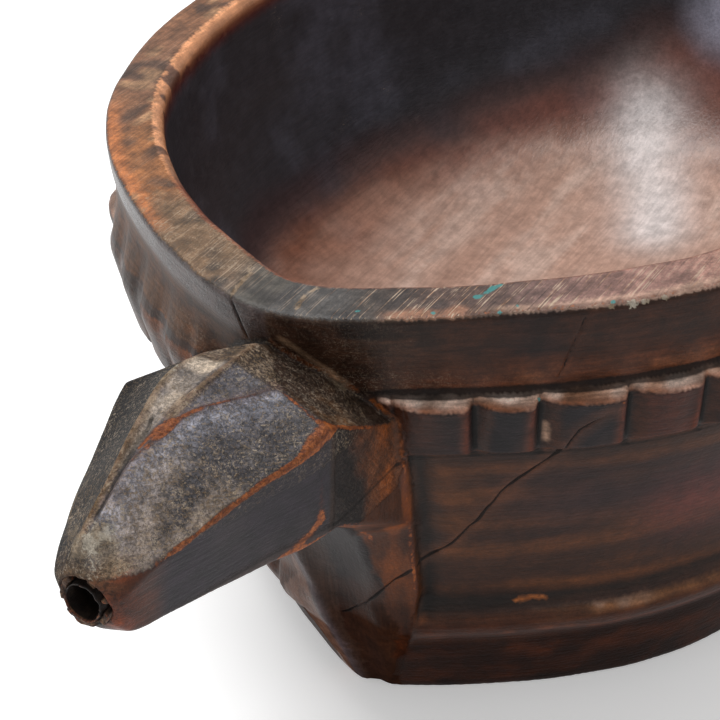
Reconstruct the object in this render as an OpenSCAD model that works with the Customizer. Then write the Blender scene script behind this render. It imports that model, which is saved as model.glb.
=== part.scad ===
/* [Bowl] */
// Width of the bowl across the rim
body_w = 160; // [150:1:170]
// Length of the bowl from the rim's nose to its tail
body_l = 197; // [190:1:205]
// Height of the bowl from the foot to the rim
bowl_h = 95; // [92:0.5:98]
// Thickness of the rim
rim_t = 10.5; // [9:0.5:12]
// Depth of the hollow below the rim
hollow_depth = 58; // [50:1:64]
// How far the nose end is pinched in, as a part of the width
nose_pinch = 0.4; // [0.36:0.01:0.42]
// How far the tail end is pinched in, as a part of the width
tail_pinch = 0.12; // [0.05:0.01:0.25]
// How far the foot's edge stands inside the rim's edge
foot_inset = 20.6; // [18:0.2:21]

/* [Notched band] */
// Number of tongues along each side of the bowl
tongues = 20; // [16:1:22]
// How far a tongue's top edge stands out past the rim
tongue_proud = 1.8; // [1:0.1:2.4]
// Depth of the notch between two tongues at its top
notch_depth = 2.7; // [1.5:0.1:3.2]
// Depth below the rim of the band's upper edge
band_top = 17; // [16.5:0.1:18]
// Depth below the rim of the band's lower edge
band_bottom = 27.3; // [26:0.1:28.5]

/* [Panels] */
// How far the flat strips beside the prow stand out from the side panels
strip_proud = 1.6; // [1:0.1:2]
// Depth below the rim of the side panels' lower edge
panel_bottom = 67; // [64:0.5:69]

/* [Spout] */
// How far the spout's end stands in front of the rim's nose
spout_reach = 49.6; // [49:0.2:50]
// Depth of the pouring hole's centre below the rim
spout_drop = 21.5; // [21:0.1:22]
// Upward slope of the pouring channel, in degrees
channel_slope = 5; // [3:0.5:6]
// Diameter of the long channel from the sleeve to the hollow
channel_d = 4.6; // [4:0.1:5]

/* [Spout sleeve] */
// Inside diameter of the sleeve
sleeve_bore = 5.8; // [5.2:0.1:6]
// Outside diameter of the sleeve
sleeve_od = 7; // [6.8:0.1:7.2]
// Length of the sleeve
sleeve_len = 14; // [10:1:16]
// Length of the sleeve that stands out of the spout's end
sleeve_out = 0.7; // [0.2:0.1:1.2]
// Outside diameter of the resin bedding round the sleeve
bedding_od = 8.8; // [8.4:0.1:9.2]
// Length of the resin bedding
bedding_len = 9; // [6:1:9]

/* [Hidden] */
$fn = 48;
nose_y = -body_l / 2;
// Outline of the rim, with t = -90 at the nose and t = 90 at the tail
function pinch(t) = sin(t) < 0 ? nose_pinch : tail_pinch;
function rim_pt(t) = [body_w / 2 * cos(t) * (1 - pinch(t) * pow(abs(sin(t)), 4.7)), body_l / 2 * sin(t)];
function unit2(v) = v / norm(v);
function rim_tan(t) = unit2(rim_pt(t + 0.05) - rim_pt(t - 0.05));
function rim_nrm(t) = let (v = rim_tan(t)) [v[1], -v[0]];
// Arc length from the nose, and the angle at a given arc length
steps = 360;
arc = [for (i = 0, s = 0; i <= steps; s = s + norm(rim_pt(-90 + 180 * (i + 1) / steps) - rim_pt(-90 + 180 * i / steps)), i = i + 1) [s, -90 + 180 * i / steps]];
half_len = arc[steps][0];
function at(s, d) = let (t = lookup(s, arc)) rim_pt(t) - d * rim_nrm(t);
// Edge of the flat strip beside the prow, as arc length against depth
strip_edge = [[0, 21], [64, 21.3], [76, 19], [87.5, 15.5], [95, 11.5]];
pitch = (half_len - 21) / tongues;
// A tongue's notches and crown: place along the pitch, inset at the top, inset at the bottom
tongue_form = [[0, notch_depth - tongue_proud, 2.4], [0.2, 0.5 - tongue_proud, 1.5], [0.55, -tongue_proud, 1.2], [0.93, 0.4 - tongue_proud, 1.4]];
// Rings of the outside, from the foot up: depth, inset, strip, tongue column (0 = none)
rings = [
    [bowl_h, foot_inset + 0.8, 0, 0],
    [bowl_h - 0.8, foot_inset, 0, 0],
    [76.2, 14, 0.8, 0],
    [74.5, 12.2, 0.6, 0],
    [72, 11.4, 0.4, 0],
    [panel_bottom, 13.3, strip_proud, 0],
    [48, 8.7, strip_proud, 0],
    [band_bottom + 0.5, 3.2, strip_proud, 0],
    [band_bottom, 1.4, 0.2, 2],
    [band_top, -0.6, 0, 1],
    [15.2, 2.2, 0, 0],
    [11, 1.7, 0, 0],
    [5, 0.2, 0, 0],
    [0, 0, 0, 0]
];
// One side's columns of a ring, from nose to tail
function side(r) = let (e = lookup(r[0], strip_edge)) concat(
    [[0, r[1] - r[2]], [e / 2, r[1] - r[2]], [e, r[1] - r[2]], [e + 0.6, r[1]]],
    [for (k = [0 : tongues - 1]) for (f = tongue_form)
        if (!(k == 0 && f[0] == 0)) [21 + (k + f[0]) * pitch, r[3] == 0 ? r[1] : f[r[3]]]],
    [[half_len, r[3] == 0 ? r[1] : tongue_form[0][r[3]]]]);
function flip(p) = [-p[0], p[1]];
function ring_pts(r) = let (c = side(r), n = len(c)) concat(
    [for (q = c) at(q[0], q[1])],
    [for (i = [n - 2 : -1 : 1]) flip(at(c[i][0], c[i][1]))]);
module skin(levels) {
    n = len(levels[0]);
    m = len(levels);
    polyhedron(
        points = [for (l = levels) for (p = l) p],
        faces = concat(
            [[for (i = [0 : n - 1]) i]],
            [[for (i = [n - 1 : -1 : 0]) (m - 1) * n + i]],
            [for (j = [0 : m - 2]) for (i = [0 : n - 1])
                [j * n + i, (j + 1) * n + i, (j + 1) * n + (i + 1) % n, j * n + (i + 1) % n]]),
        convexity = 8);
}
module outside() {
    skin([for (r = rings) [for (p = ring_pts(r)) [p[0], p[1], bowl_h - r[0]]]]);
}
// Hollow: scaled copies of the rim's inner outline, from the floor up
hollow_form = [[1, 0.2], [0.965, 0.5], [0.9, 0.7], [0.81, 0.81], [0.69, 0.885], [0.5, 0.945], [0.25, 0.985], [0, 1]];
hollow_cols = 36;
function inner_pts(k) = concat(
    [for (i = [0 : hollow_cols]) k * at(half_len * i / hollow_cols, rim_t)],
    [for (i = [hollow_cols - 1 : -1 : 1]) k * flip(at(half_len * i / hollow_cols, rim_t))]);
module hollow() {
    skin(concat(
        [for (h = hollow_form) [for (p = inner_pts(h[1])) [p[0], p[1], bowl_h - h[0] * hollow_depth]]],
        [[for (p = inner_pts(1)) [p[0], p[1], bowl_h + 3]]]));
}
// Places on the spout are measured from the rim's nose edge: across, along, up
module at_nose() {
    translate([0, nose_y, bowl_h]) children();
}
spout_form = [
    [0, -2.2, -4.6], [0, -28, -4.6], [7, -7.6, -6.6], [2.5, -25.8, -4.2], [1.4, -46, -10],
    [18.6, -12.9, -9.8], [15.1, -24.2, -12.2], [13, -31, -14.4], [9.6, -40.8, -15.8], [8.3, -44, -16.4],
    [6.9, -46.3, -18.4], [6, -47.6, -21.8], [5.4, -47.4, -25.5], [4.5, -45.2, -28.4], [8, -33.3, -29.8],
    [12, -15.1, -31.5], [0, -45.3, -30.4], [0, -15.3, -32.6],
    [4.8, 3.7, -8.4], [10.4, 6.7, -12.6], [15.5, 8.7, -14.8], [18, 3.7, -17.4], [18.2, 11.5, -28.6], [17.8, 14.5, -40]];
module spout_mass() {
    at_nose() {
        hull() {
            for (p = spout_form) for (s = [-1, 1])
                translate([s * p[0], p[1], p[2]]) cube(0.02, center = true);
            translate([0, -spout_reach, -spout_drop]) rotate([90 - channel_slope, 0, 0])
                translate([0, 0, -1]) cylinder(d = bedding_od + 0.8, h = 1, $fn = 24);
        }
    }
}
// Face of the prow below the spout, as along, up
prow_form = [[22.3, -96], [20, -90], [17.2, -82.5], [13.6, -72], [12.4, -62], [10.4, -53], [8.4, -46], [5.5, -41], [2, -36], [-3, -32.5], [-8, -31.2], [-15, -31.5], [-62, -27.2], [-62, -96]];
module prow_cut() {
    at_nose() rotate([90, 0, 90]) translate([0, 0, -40])
        linear_extrude(80) polygon(prow_form);
}
// Places things on the pouring channel's axis, mouth at the origin, outwards along +Z
module on_channel() {
    at_nose() translate([0, -spout_reach, -spout_drop]) rotate([90 - channel_slope, 0, 0]) children();
}
module vessel() {
    color("#3b2a20")
    difference() {
        union() {
            outside();
            spout_mass();
        }
        prow_cut();
        hollow();
        on_channel() translate([0, 0, -78]) cylinder(d = channel_d, h = 80);
        on_channel() translate([0, 0, sleeve_out - sleeve_len]) cylinder(d = sleeve_od, h = sleeve_len + 4);
        on_channel() translate([0, 0, -bedding_len]) cylinder(d = bedding_od, h = bedding_len + 4);
    }
}
module spout_sleeve() {
    color("#a8612f")
    on_channel() translate([0, 0, sleeve_out - sleeve_len]) difference() {
        cylinder(d = sleeve_od, h = sleeve_len);
        translate([0, 0, -1]) cylinder(d = sleeve_bore, h = sleeve_len + 2);
    }
}
module sleeve_bedding() {
    color("#2a211b")
    on_channel() translate([0, 0, -bedding_len]) difference() {
        cylinder(d = bedding_od, h = bedding_len);
        translate([0, 0, -1]) cylinder(d = sleeve_od, h = bedding_len + 2);
    }
}
vessel();
spout_sleeve();
sleeve_bedding();
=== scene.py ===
import math
import time
from concurrent.futures import ThreadPoolExecutor

import bmesh
import bpy
import numpy as np
import openvdb as vdb
from mathutils import Matrix, Vector


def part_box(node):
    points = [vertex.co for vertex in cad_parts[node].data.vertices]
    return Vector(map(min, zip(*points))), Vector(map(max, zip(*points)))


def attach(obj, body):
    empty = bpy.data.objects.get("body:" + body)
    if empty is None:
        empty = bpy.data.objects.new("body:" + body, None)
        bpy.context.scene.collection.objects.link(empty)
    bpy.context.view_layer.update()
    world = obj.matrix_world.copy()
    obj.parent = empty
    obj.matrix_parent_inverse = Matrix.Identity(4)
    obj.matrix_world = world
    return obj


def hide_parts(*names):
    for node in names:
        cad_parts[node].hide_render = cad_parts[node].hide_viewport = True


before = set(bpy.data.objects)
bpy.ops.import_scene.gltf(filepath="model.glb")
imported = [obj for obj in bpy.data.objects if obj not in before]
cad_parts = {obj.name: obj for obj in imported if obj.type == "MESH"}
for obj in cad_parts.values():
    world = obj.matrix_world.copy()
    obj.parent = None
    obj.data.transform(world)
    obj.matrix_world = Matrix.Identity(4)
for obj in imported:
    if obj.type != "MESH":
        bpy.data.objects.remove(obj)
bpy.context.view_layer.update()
# Shapes are worked out in millimetres: x across, y from the rim's nose (negative towards the spout), z from the rim down.
LO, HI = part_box("vessel")
HALF_L = 98.5
RIM_Z = HI.z * 1000.0


def to_row(p):
    """Millimetres in the local axes to metres in the row frame."""
    return (np.asarray(p, float) + [0.0, -HALF_L, RIM_Z]) / 1000.0


# ---------------------------------------------------------------- numbers
LATTICE = (np.random.default_rng(11).random((32, 32, 32)) * 2 - 1).astype(np.float64)


def noise(p, scale, seed=0):
    """Smooth value noise from -1 to 1, with features about scale millimetres across."""
    q = p / np.asarray(scale, float) + np.array([7.31, 3.17, 5.77]) * (seed + 1)
    i = np.floor(q).astype(np.int64)
    f = q - i
    f = f * f * f * (f * (f * 6 - 15) + 10)
    a, b = i & 31, (i + 1) & 31
    x0, y0, z0, x1, y1, z1 = a[:, 0], a[:, 1], a[:, 2], b[:, 0], b[:, 1], b[:, 2]
    fx, fy, fz = f[:, 0], f[:, 1], f[:, 2]
    c00 = LATTICE[x0, y0, z0] * (1 - fx) + LATTICE[x1, y0, z0] * fx
    c10 = LATTICE[x0, y1, z0] * (1 - fx) + LATTICE[x1, y1, z0] * fx
    c01 = LATTICE[x0, y0, z1] * (1 - fx) + LATTICE[x1, y0, z1] * fx
    c11 = LATTICE[x0, y1, z1] * (1 - fx) + LATTICE[x1, y1, z1] * fx
    return (c00 * (1 - fy) + c10 * fy) * (1 - fz) + (c01 * (1 - fy) + c11 * fy) * fz


def smin(a, b, r):
    """The lower of two, rounded over r."""
    h = np.maximum(r - np.abs(a - b), 0.0) / r
    return np.minimum(a, b) - h * h * r / 4


def smax(a, b, r):
    return -smin(-a, -b, r)


def step(x, lo, hi):
    t = np.clip((x - lo) / (hi - lo), 0.0, 1.0)
    return t * t * (3 - 2 * t)


def seg_dist(p, a, b):
    """Distance of each point to the segment a-b, and how far along it lies."""
    a, b = np.asarray(a, float), np.asarray(b, float)
    d = b - a
    t = np.clip(((p - a) @ d) / max(d @ d, 1e-12), 0, 1)
    return np.sqrt(((p - a - t[:, None] * d) ** 2).sum(1)), t


def line_dist(p, pts):
    """Distance to a polyline, and how far along it lies from 0 to 1."""
    pts = np.asarray(pts, float)
    ln = np.r_[0, np.cumsum(np.sqrt((np.diff(pts, axis=0) ** 2).sum(1)))]
    best, along = np.full(len(p), 1e9), np.zeros(len(p))
    for i in range(len(pts) - 1):
        d, t = seg_dist(p, pts[i], pts[i + 1])
        k = d < best
        best[k] = d[k]
        along[k] = ((ln[i] + t * (ln[i + 1] - ln[i])) / ln[-1])[k]
    return best, along


class Table:
    """A 2-D table with bilinear look-up."""

    def __init__(self, x0, y0, dx, a):
        self.x0, self.y0, self.dx, self.a = x0, y0, dx, a

    def __call__(self, x, y):
        u = np.clip((x - self.x0) / self.dx, 0, self.a.shape[0] - 1.001)
        v = np.clip((y - self.y0) / self.dx, 0, self.a.shape[1] - 1.001)
        i, j = u.astype(np.int64), v.astype(np.int64)
        fu, fv = u - i, v - j
        a = self.a
        return (a[i, j] * (1 - fu) + a[i + 1, j] * fu) * (1 - fv) + (a[i, j + 1] * (1 - fu) + a[i + 1, j + 1] * fu) * fv


def polygon_table(pts, x0, x1, y0, y1, dx):
    """Signed distance to a closed outline, positive inside."""
    pts = np.asarray(pts, float)
    gx, gy = np.arange(x0, x1 + dx, dx), np.arange(y0, y1 + dx, dx)
    X, Y = np.meshgrid(gx, gy, indexing="ij")
    P = np.c_[X.ravel(), Y.ravel()]
    best, inside = np.full(len(P), 1e9), np.zeros(len(P), bool)
    for a, b in zip(pts, np.roll(pts, -1, axis=0)):
        d = b - a
        t = np.clip(((P - a) @ d) / max(d @ d, 1e-12), 0, 1)
        best = np.minimum(best, ((P - a - t[:, None] * d) ** 2).sum(1))
        if a[1] != b[1]:
            k = (a[1] > P[:, 1]) != (b[1] > P[:, 1])
            inside ^= k & (P[:, 0] < (b[0] - a[0]) * (P[:, 1] - a[1]) / (b[1] - a[1]) + a[0])
    s = np.sqrt(best) * np.where(inside, 1, -1)
    return Table(x0, y0, dx, s.reshape(X.shape))


def smooth_line(pts, n=12):
    """A centripetal-like smooth curve through points (Catmull-Rom)."""
    p = np.asarray(pts, float)
    q = np.vstack([2 * p[0] - p[1], p, 2 * p[-1] - p[-2]])
    out = []
    for i in range(1, len(q) - 2):
        for t in np.arange(n) / n:
            a, b, c, d = q[i - 1], q[i], q[i + 1], q[i + 2]
            out.append(0.5 * (2 * b + (c - a) * t + (2 * a - 5 * b + 4 * c - d) * t * t + (3 * b - a - 3 * c + d) * t ** 3))
    out.append(p[-1])
    return np.array(out)


# ---------------------------------------------------------------- the rim's outline
def rim_curve(deg):
    t = np.radians(deg)
    s = np.sin(t)
    a = np.where(s < 0, 0.4, 0.12)
    return np.c_[80.0 * np.cos(t) * (1 - a * np.abs(s) ** 4.7), HALF_L * s + HALF_L]


RIM = rim_curve(np.linspace(-90, 90, 1441))
ARC = np.r_[0, np.cumsum(np.sqrt((np.diff(RIM, axis=0) ** 2).sum(1)))]
HALF_LEN = ARC[-1]
TAN = np.gradient(RIM, axis=0)
TAN /= np.sqrt((TAN ** 2).sum(1))[:, None]
OUT = np.c_[TAN[:, 1], -TAN[:, 0]]


def outline_tables():
    dx = 0.5
    gx, gy = np.arange(0, 92.01, dx), np.arange(-14, 211.01, dx)
    D, S = np.zeros((len(gx), len(gy))), np.zeros((len(gx), len(gy)))
    for j, y in enumerate(gy):
        v = (gx[:, None] - RIM[None, :, 0]) ** 2 + (y - RIM[None, :, 1]) ** 2
        k = v.argmin(1)
        w = np.c_[gx, np.full(len(gx), y)] - RIM[k]
        D[:, j] = -(w * OUT[k]).sum(1)
        S[:, j] = ARC[k] + (w * TAN[k]).sum(1)
    return Table(0, -14, dx, D), Table(0, -14, dx, S)


INSET, ALONG = outline_tables()
INNER = RIM - 10.5 * OUT
_ang = np.arctan2(INNER[:, 1] - HALF_L, INNER[:, 0])
_rad = np.hypot(INNER[:, 0], INNER[:, 1] - HALF_L)
_o = np.argsort(_ang)
_ang, _rad = _ang[_o], _rad[_o]

# ---------------------------------------------------------------- the notched band
S_GRID = np.arange(0, HALF_LEN + 0.1, 0.1)


def band_side(seed, first, drop):
    """For one side: how far the band stands out at its top and bottom, and how far its edges are shifted down, along the rim."""
    rng = np.random.default_rng(seed)
    cuts = list(first)
    while cuts[-1] < HALF_LEN - 9:
        cuts.append(cuts[-1] + rng.uniform(11.2, 14.6))
    cuts[-1] = HALF_LEN
    top, bot, low = [], [], []
    for i in range(len(cuts) - 1):
        a, w = cuts[i], cuts[i + 1] - cuts[i]
        j, k = rng.uniform(-0.25, 0.3), rng.uniform(-0.2, 0.2)
        n1, n2 = rng.uniform(-0.45, 0.35), rng.uniform(-0.25, 0.3)
        soft = drop > 0 and a < 75
        v = 2.9 if soft else 1.4 - n1 * 0.5
        j, k = (0.4 * j, 0.4 * k) if soft else (j, k)
        top += [(a, v), (a + 0.5, v + 0.05), (a + 0.2 * w, max(v, 2.9 + j)), (a + 0.38 * w, 3.7 + j), (a + 0.62 * w, 4.05 + j), (a + 0.82 * w, 3.8 + j + k), (a + w - 1.1, 3.3 + j + k), (a + w - 0.45, v + 0.1)]
        bot += [(a, 0.5 - n2), (a + 0.35, 0.55), (a + 0.2 * w, 1.75 + j), (a + 0.55 * w, 2.0 + j), (a + 0.9 * w, 1.85 + j), (a + w - 1.0, 1.7 + j), (a + w - 0.4, 0.6)]
        low += [(a + 0.5 * w, rng.uniform(-0.35, 0.35))]
    top.append((HALF_LEN, 1.45))
    bot.append((HALF_LEN, 0.6))
    g = np.exp(-((np.arange(-12, 13) * 0.1 / 0.27) ** 2) / 2)
    g /= g.sum()
    f = lambda v: np.convolve(np.pad(np.interp(S_GRID, *np.array(v).T), 12, mode="edge"), g, mode="valid")
    near = drop * (1 - step(S_GRID, 45, 95))
    z = np.interp(S_GRID, *np.array(low).T) + near
    return f(top) + 0.42 * near, f(bot) + 0.8 * near, z, np.array(cuts)


BAND = [band_side(5, [19.5, 32.9, 43.4, 57.9, 70.8], 0.0), band_side(9, [19.5, 31.0, 43.0, 55.0, 68.5], 2.2)]
PROFILE_Z = np.array([-110, -95, -94.2, -84, -76.4, -74.6, -72, -67, -58, -48, -38, -29, -15.2, -11, -5, 0, 10.0])
PROFILE_P = np.array([25.5, 21.3, 20.6, 16.95, 14.1, 12.3, 11.4, 13.3, 11.35, 8.8, 6.0, 3.45, 2.25, 1.7, 0.25, 0, 0.0])
ZG = np.arange(-110, 10, 0.1)
_g = np.exp(-((np.arange(-10, 11) * 0.1 / 0.4) ** 2) / 2)
_g /= _g.sum()
PROFILE = np.convolve(np.pad(np.interp(ZG, PROFILE_Z, PROFILE_P), 10, mode="edge"), _g, mode="valid")
STRIP_EDGE = ([-95, -87.5, -76, -64, 0], [11.5, 15.5, 19.0, 21.3, 21.0])
STRIP_OUT = ([-94.2, -84, -76.2, -72, -67, -30, -27, -20], [0.0, 0.5, 0.8, 0.6, 1.6, 1.6, 0.6, 0.0])


def wall(p, d, s, z):
    """The outside of the bowl: positive inside."""
    left = p[:, 0] < 0
    base = np.interp(z, ZG, PROFILE)
    e = np.interp(z, *STRIP_EDGE)
    strip = np.interp(z, *STRIP_OUT) * (1 - step(s, e - 0.2, e + 0.9))
    ditch = 0.75 * np.exp(-(((s - e - 2.6) / 1.9) ** 2)) * step(z, -76, -66) * (1 - step(z, -31, -29))
    out = np.zeros(len(z))
    for side, (top, bot, low, _) in enumerate(BAND):
        k = left if side else ~left
        zz, ss = z[k] + np.interp(s[k], S_GRID, low), s[k]
        t, b = np.interp(ss, S_GRID, top), np.interp(ss, S_GRID, bot)
        acc = 0.0
        for dz, w in ((-0.3, 0.25), (0.0, 0.5), (0.3, 0.25)):
            zd = zz + dz
            up = np.clip((-15.3 - zd) / 1.7, 0, 1)
            if side:
                up = up * step(ss, 60, 95) + (1 - step(ss, 60, 95)) * step(-zd, 4.5, 19.0)
            dn = np.clip((zd + 28.1) / 0.75, 0, 1)
            m = np.clip((-17.0 - zd) / 10.3, 0, 1)
            acc = acc + w * up * dn * (t + (b - t) * m)
        out[k] = acc
    out *= step(s, 15, 20)
    return d - (base - strip + ditch - out)


# ---------------------------------------------------------------- spout, prow and hollow
# The spout's edges, from inside the bowl's wall to the mouth: top centre, right top edge, right outer edge, right
# lower edge, lower centre, left lower edge, left outer edge, left top edge. The second row is the sharp back edge.
SPOUT = np.array([
    [(0, 6, -10.8), (8.2, 9, -13.9), (18.0, 14, -25), (17.8, 15, -46), (0, 15, -60), (-17.8, 15, -46), (-18.0, 14, -25), (-8.2, 9, -13.7)],
    [(0, -3.0, -4.3), (7.5, -8.7, -6.6), (18.3, -11.1, -9.4), (16.8, -8.6, -30.4), (0, -8, -35), (-16.8, -10, -31.0), (-18.2, -14.2, -10.7), (-7, -7.6, -5.6)],
    [(0, -11.0, -3.8), (5.9, -12.6, -6.1), (17.2, -17.4, -11.3), (14.4, -14.5, -31.4), (0, -14, -33.5), (-14.4, -16, -32), (-17.0, -18.3, -11.3), (-6.8, -12.6, -4.3)],
    [(0, -17.6, -3.6), (4.4, -17.6, -5.0), (15, -23.8, -12.3), (12, -20, -31.2), (0, -20, -32.6), (-12, -21.5, -31.8), (-15.6, -22.2, -12.0), (-6.4, -17.4, -3.7)],
    [(0.2, -23.4, -4.1), (2.9, -22.4, -4.1), (13.9, -28.0, -12.9), (10, -26.5, -30.7), (0, -26, -32), (-10, -28, -31.2), (-14.3, -26.5, -13.2), (-5.4, -21.7, -3.5)],
    [(-0.2, -28.5, -4.6), (1.5, -28.3, -4.4), (12.6, -32.2, -13.7), (8.6, -31.5, -30.1), (0, -31, -31.6), (-8.6, -33, -30.5), (-13, -30.7, -14.5), (-3.9, -26.8, -3.7)],
    [(-0.4, -32.5, -5.0), (1.1, -33.0, -4.7), (11.2, -35.3, -14.8), (7.4, -36, -29.6), (0, -36, -31.2), (-7.4, -37.5, -30), (-11.6, -35, -15.5), (-2.6, -31.3, -4.0)],
    [(-0.3, -36.5, -5.9), (1.2, -36.9, -5.5), (10.1, -37.7, -15.6), (6.5, -39.5, -29.2), (0, -39.5, -30.9), (-6.5, -41, -29.6), (-10.4, -38.4, -16.3), (-1.8, -35.3, -5.3)],
    [(-0.1, -40.2, -7.6), (1.3, -40.7, -7.2), (9.2, -40.0, -16.3), (5.9, -42.5, -28.9), (0, -42.4, -30.5), (-5.9, -43.5, -29.2), (-9.2, -41.4, -17.1), (-1.3, -39.2, -7.2)],
    [(0.0, -43.5, -9.4), (1.5, -43.8, -8.9), (8.4, -42.9, -17.0), (5.4, -44.6, -28.5), (0, -44.6, -30.1), (-5.4, -45.3, -28.7), (-8.3, -43.7, -17.6), (-1.2, -43.2, -9.4)],
    [(0.0, -46.3, -11.9), (1.9, -46.2, -11.6), (7.5, -45.6, -18.1), (5.1, -46.2, -27.7), (0, -46.2, -29.2), (-5.1, -46.6, -27.9), (-7.4, -45.9, -18.6), (-1.4, -46.2, -11.8)],
    [(0.0, -48.4, -15.0), (2.4, -48.2, -15.0), (6.5, -47.7, -19.4), (4.9, -47.5, -26.2), (0, -47.6, -27.8), (-4.9, -47.8, -26.4), (-6.4, -47.8, -19.7), (-2.4, -48.3, -15.2)],
    [(0.0, -49.7, -17.0), (2.6, -49.5, -17.6), (4.6, -49.2, -20.2), (4.0, -48.9, -24.4), (0, -48.8, -26.2), (-4.0, -48.9, -24.4), (-4.6, -49.2, -20.2), (-2.6, -49.5, -17.6)],
], float)
AXIS = np.array([0.0, -math.cos(math.radians(5)), math.sin(math.radians(5))])
MOUTH = np.array([0.0, -49.6, -21.5])
side_x = np.array([1.0, 0, 0])
side_z = np.cross(side_x, AXIS)
RIDGE_A = SPOUT[1:11, 7]
GROOVE_A = [(-2.8, -25.0, -4.0), (-1.5, -29, -4.4), (-1.0, -33, -4.9), (-0.7, -37, -6.1), (-0.45, -41, -8.0), (-0.4, -44.8, -10.3)]
RIDGE_B = [(0.2, -3.5, -4.2), (0.3, -11.5, -3.6), (0.2, -17.8, -3.4), (-0.2, -22.5, -4.0), (0.0, -25.2, -4.4)]
EDGE_TOP = [(7.8, -9.2, -6.7), (6.0, -13.5, -6.1), (4.4, -17.6, -5.1), (2.8, -21.7, -4.3), (1.7, -24.6, -4.3), (1.4, -28.3, -4.6), (0.9, -31.9, -5.0), (0.5, -35.0, -5.8), (0.6, -38.5, -7.1), (0.6, -41.8, -8.8)]
VALLEY_1 = [(-3.2, -7, -4.9), (-3.4, -14, -4.2), (-3.1, -21, -3.9)]
VALLEY_2 = [(4.1, -9.5, -5.5), (3.0, -14.5, -4.9), (1.4, -20.5, -4.3)]


class Table3:
    """A 3-D table with trilinear look-up."""

    def __init__(self, lo, dx, a):
        self.lo, self.dx, self.a, self.n = np.asarray(lo, float), dx, a, np.array(a.shape)

    def __call__(self, p):
        u = np.clip((p - self.lo) / self.dx, 0, self.n - 1.001)
        i = u.astype(np.int64)
        f = u - i
        flat, n = self.a.ravel(), self.n
        base = (i[:, 0] * n[1] + i[:, 1]) * n[2] + i[:, 2]
        out = 0.0
        for c in range(8):
            cx, cy, cz = c >> 2, (c >> 1) & 1, c & 1
            w = (f[:, 0] if cx else 1 - f[:, 0]) * (f[:, 1] if cy else 1 - f[:, 1]) * (f[:, 2] if cz else 1 - f[:, 2])
            out = out + flat[base + (cx * n[1] + cy) * n[2] + cz] * w
        return out


def spout_table():
    """The spout as a table of signed distances, positive inside, with its edges a little worn."""
    rows = [SPOUT[0] * (1 - t) + SPOUT[1] * t for t in (0, 0.25, 0.5, 0.75)]
    cols = [smooth_line(SPOUT[1:, j], 6) for j in range(8)]
    rows += list(np.stack(cols, 1))
    rows = np.array(rows)
    sub = 8
    ringed = np.concatenate([rows, rows[:, :1]], axis=1)
    pts = np.concatenate([ringed[:, j:j + 1] * (1 - t) + ringed[:, j + 1:j + 2] * t for j in range(8) for t in np.arange(sub) / sub], axis=1)
    m, n = pts.shape[:2]
    v = list(pts.reshape(-1, 3))
    tri = []
    for i in range(m - 1):
        for j in range(n):
            a, b, c, d = i * n + j, i * n + (j + 1) % n, (i + 1) * n + (j + 1) % n, (i + 1) * n + j
            tri += [(a, c, b), (a, d, c)]
    for i, turn in ((0, 1), (m - 1, -1)):
        v.append(pts[i].mean(0))
        k = len(v) - 1
        tri += [(k, i * n + j, i * n + (j + 1) % n)[::turn] for j in range(n)]
    v, tri = np.array(v), np.array(tri)
    vol = np.einsum("ij,ij->i", v[tri[:, 0]], np.cross(v[tri[:, 1]], v[tri[:, 2]])).sum()
    if vol < 0:
        tri = tri[:, ::-1]
    dx, lo, hi = 0.4, np.array([-25.0, -55.0, -66.0]), np.array([25.0, 22.0, 1.0])
    pts_i = ((v - lo) / dx).astype(np.float32)
    g = vdb.FloatGrid.createLevelSetFromPolygons(pts_i, triangles=np.ascontiguousarray(tri.astype(np.uint32)), transform=vdb.createLinearTransform(1.0), halfWidth=10.0)
    n = np.ceil((hi - lo) / dx).astype(int) + 1
    a = np.empty(n, np.float32)
    g.copyToArray(a, ijk=(0, 0, 0))
    a = -a.astype(np.float64) * dx
    k = np.exp(-(np.arange(-3, 4) ** 2) / (2 * 0.7 ** 2))
    k /= k.sum()
    for ax in range(3):
        pad = [(3, 3) if i == ax else (0, 0) for i in range(3)]
        b = np.pad(a, pad, mode="edge")
        a = sum(w * np.take(b, np.arange(a.shape[ax]) + i, axis=ax) for i, w in enumerate(k))
    return Table3(lo, dx, a)


SPOUT_AT = spout_table()


def head(p):
    """The faceted spout with its neck: positive inside."""
    f = SPOUT_AT(p)
    add = np.zeros(len(p))
    for line, amp, w, a, b in (
            (RIDGE_A, 0.4, 0.6, 0.0, 1.0), (GROOVE_A, -0.95, 0.75, 0.0, 1.0), (RIDGE_B, 0.42, 0.6, 0.0, 1.0), (EDGE_TOP, 0.22, 0.7, 0.0, 1.0),
            (VALLEY_1, -0.6, 1.7, 0.0, 1.0), (VALLEY_2, -0.3, 1.5, 0.0, 1.0)):
        e, t = line_dist(p, line)
        add += amp * np.exp(-((e / w) ** 2)) * step(t, a - 0.02, a + 0.2) * (1 - step(t, b - 0.18, b + 0.02))
    return f + add


PROW = polygon_table(
    np.vstack([[(-70, -100), (24.5, -100)], smooth_line([(22.3, -96), (20, -90), (17.2, -82.5), (13.6, -72), (12.4, -62), (10.4, -53), (8.4, -46), (5.5, -41), (2, -36), (-3, -32.7), (-8, -31.4), (-15, -31.6)], 6), [(-70, -27.0)]]),
    -70, 40, -100, -18, 0.5)
BOWL = polygon_table(
    np.vstack([[(-30, -58.4), (0, -58.4)], smooth_line([(16, -58), (40, -56.2), (56, -52.3), (64.8, -47), (70.8, -40), (75.6, -29), (78.8, -14.5), (80, 0)], 8), [(80.5, 14), (-30, 14)]]),
    -30, 110, -70, 14, 0.5)


def hollow(p):
    """Positive inside the hollow."""
    x, y = p[:, 0], p[:, 1] - HALF_L
    r = np.hypot(x, y)
    rr = np.interp(np.arctan2(y, np.abs(x)), _ang, _rad)
    return BOWL(r / rr * 80.0, p[:, 2]) * np.clip(rr / 80.0, 0.8, 1.1)


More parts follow.
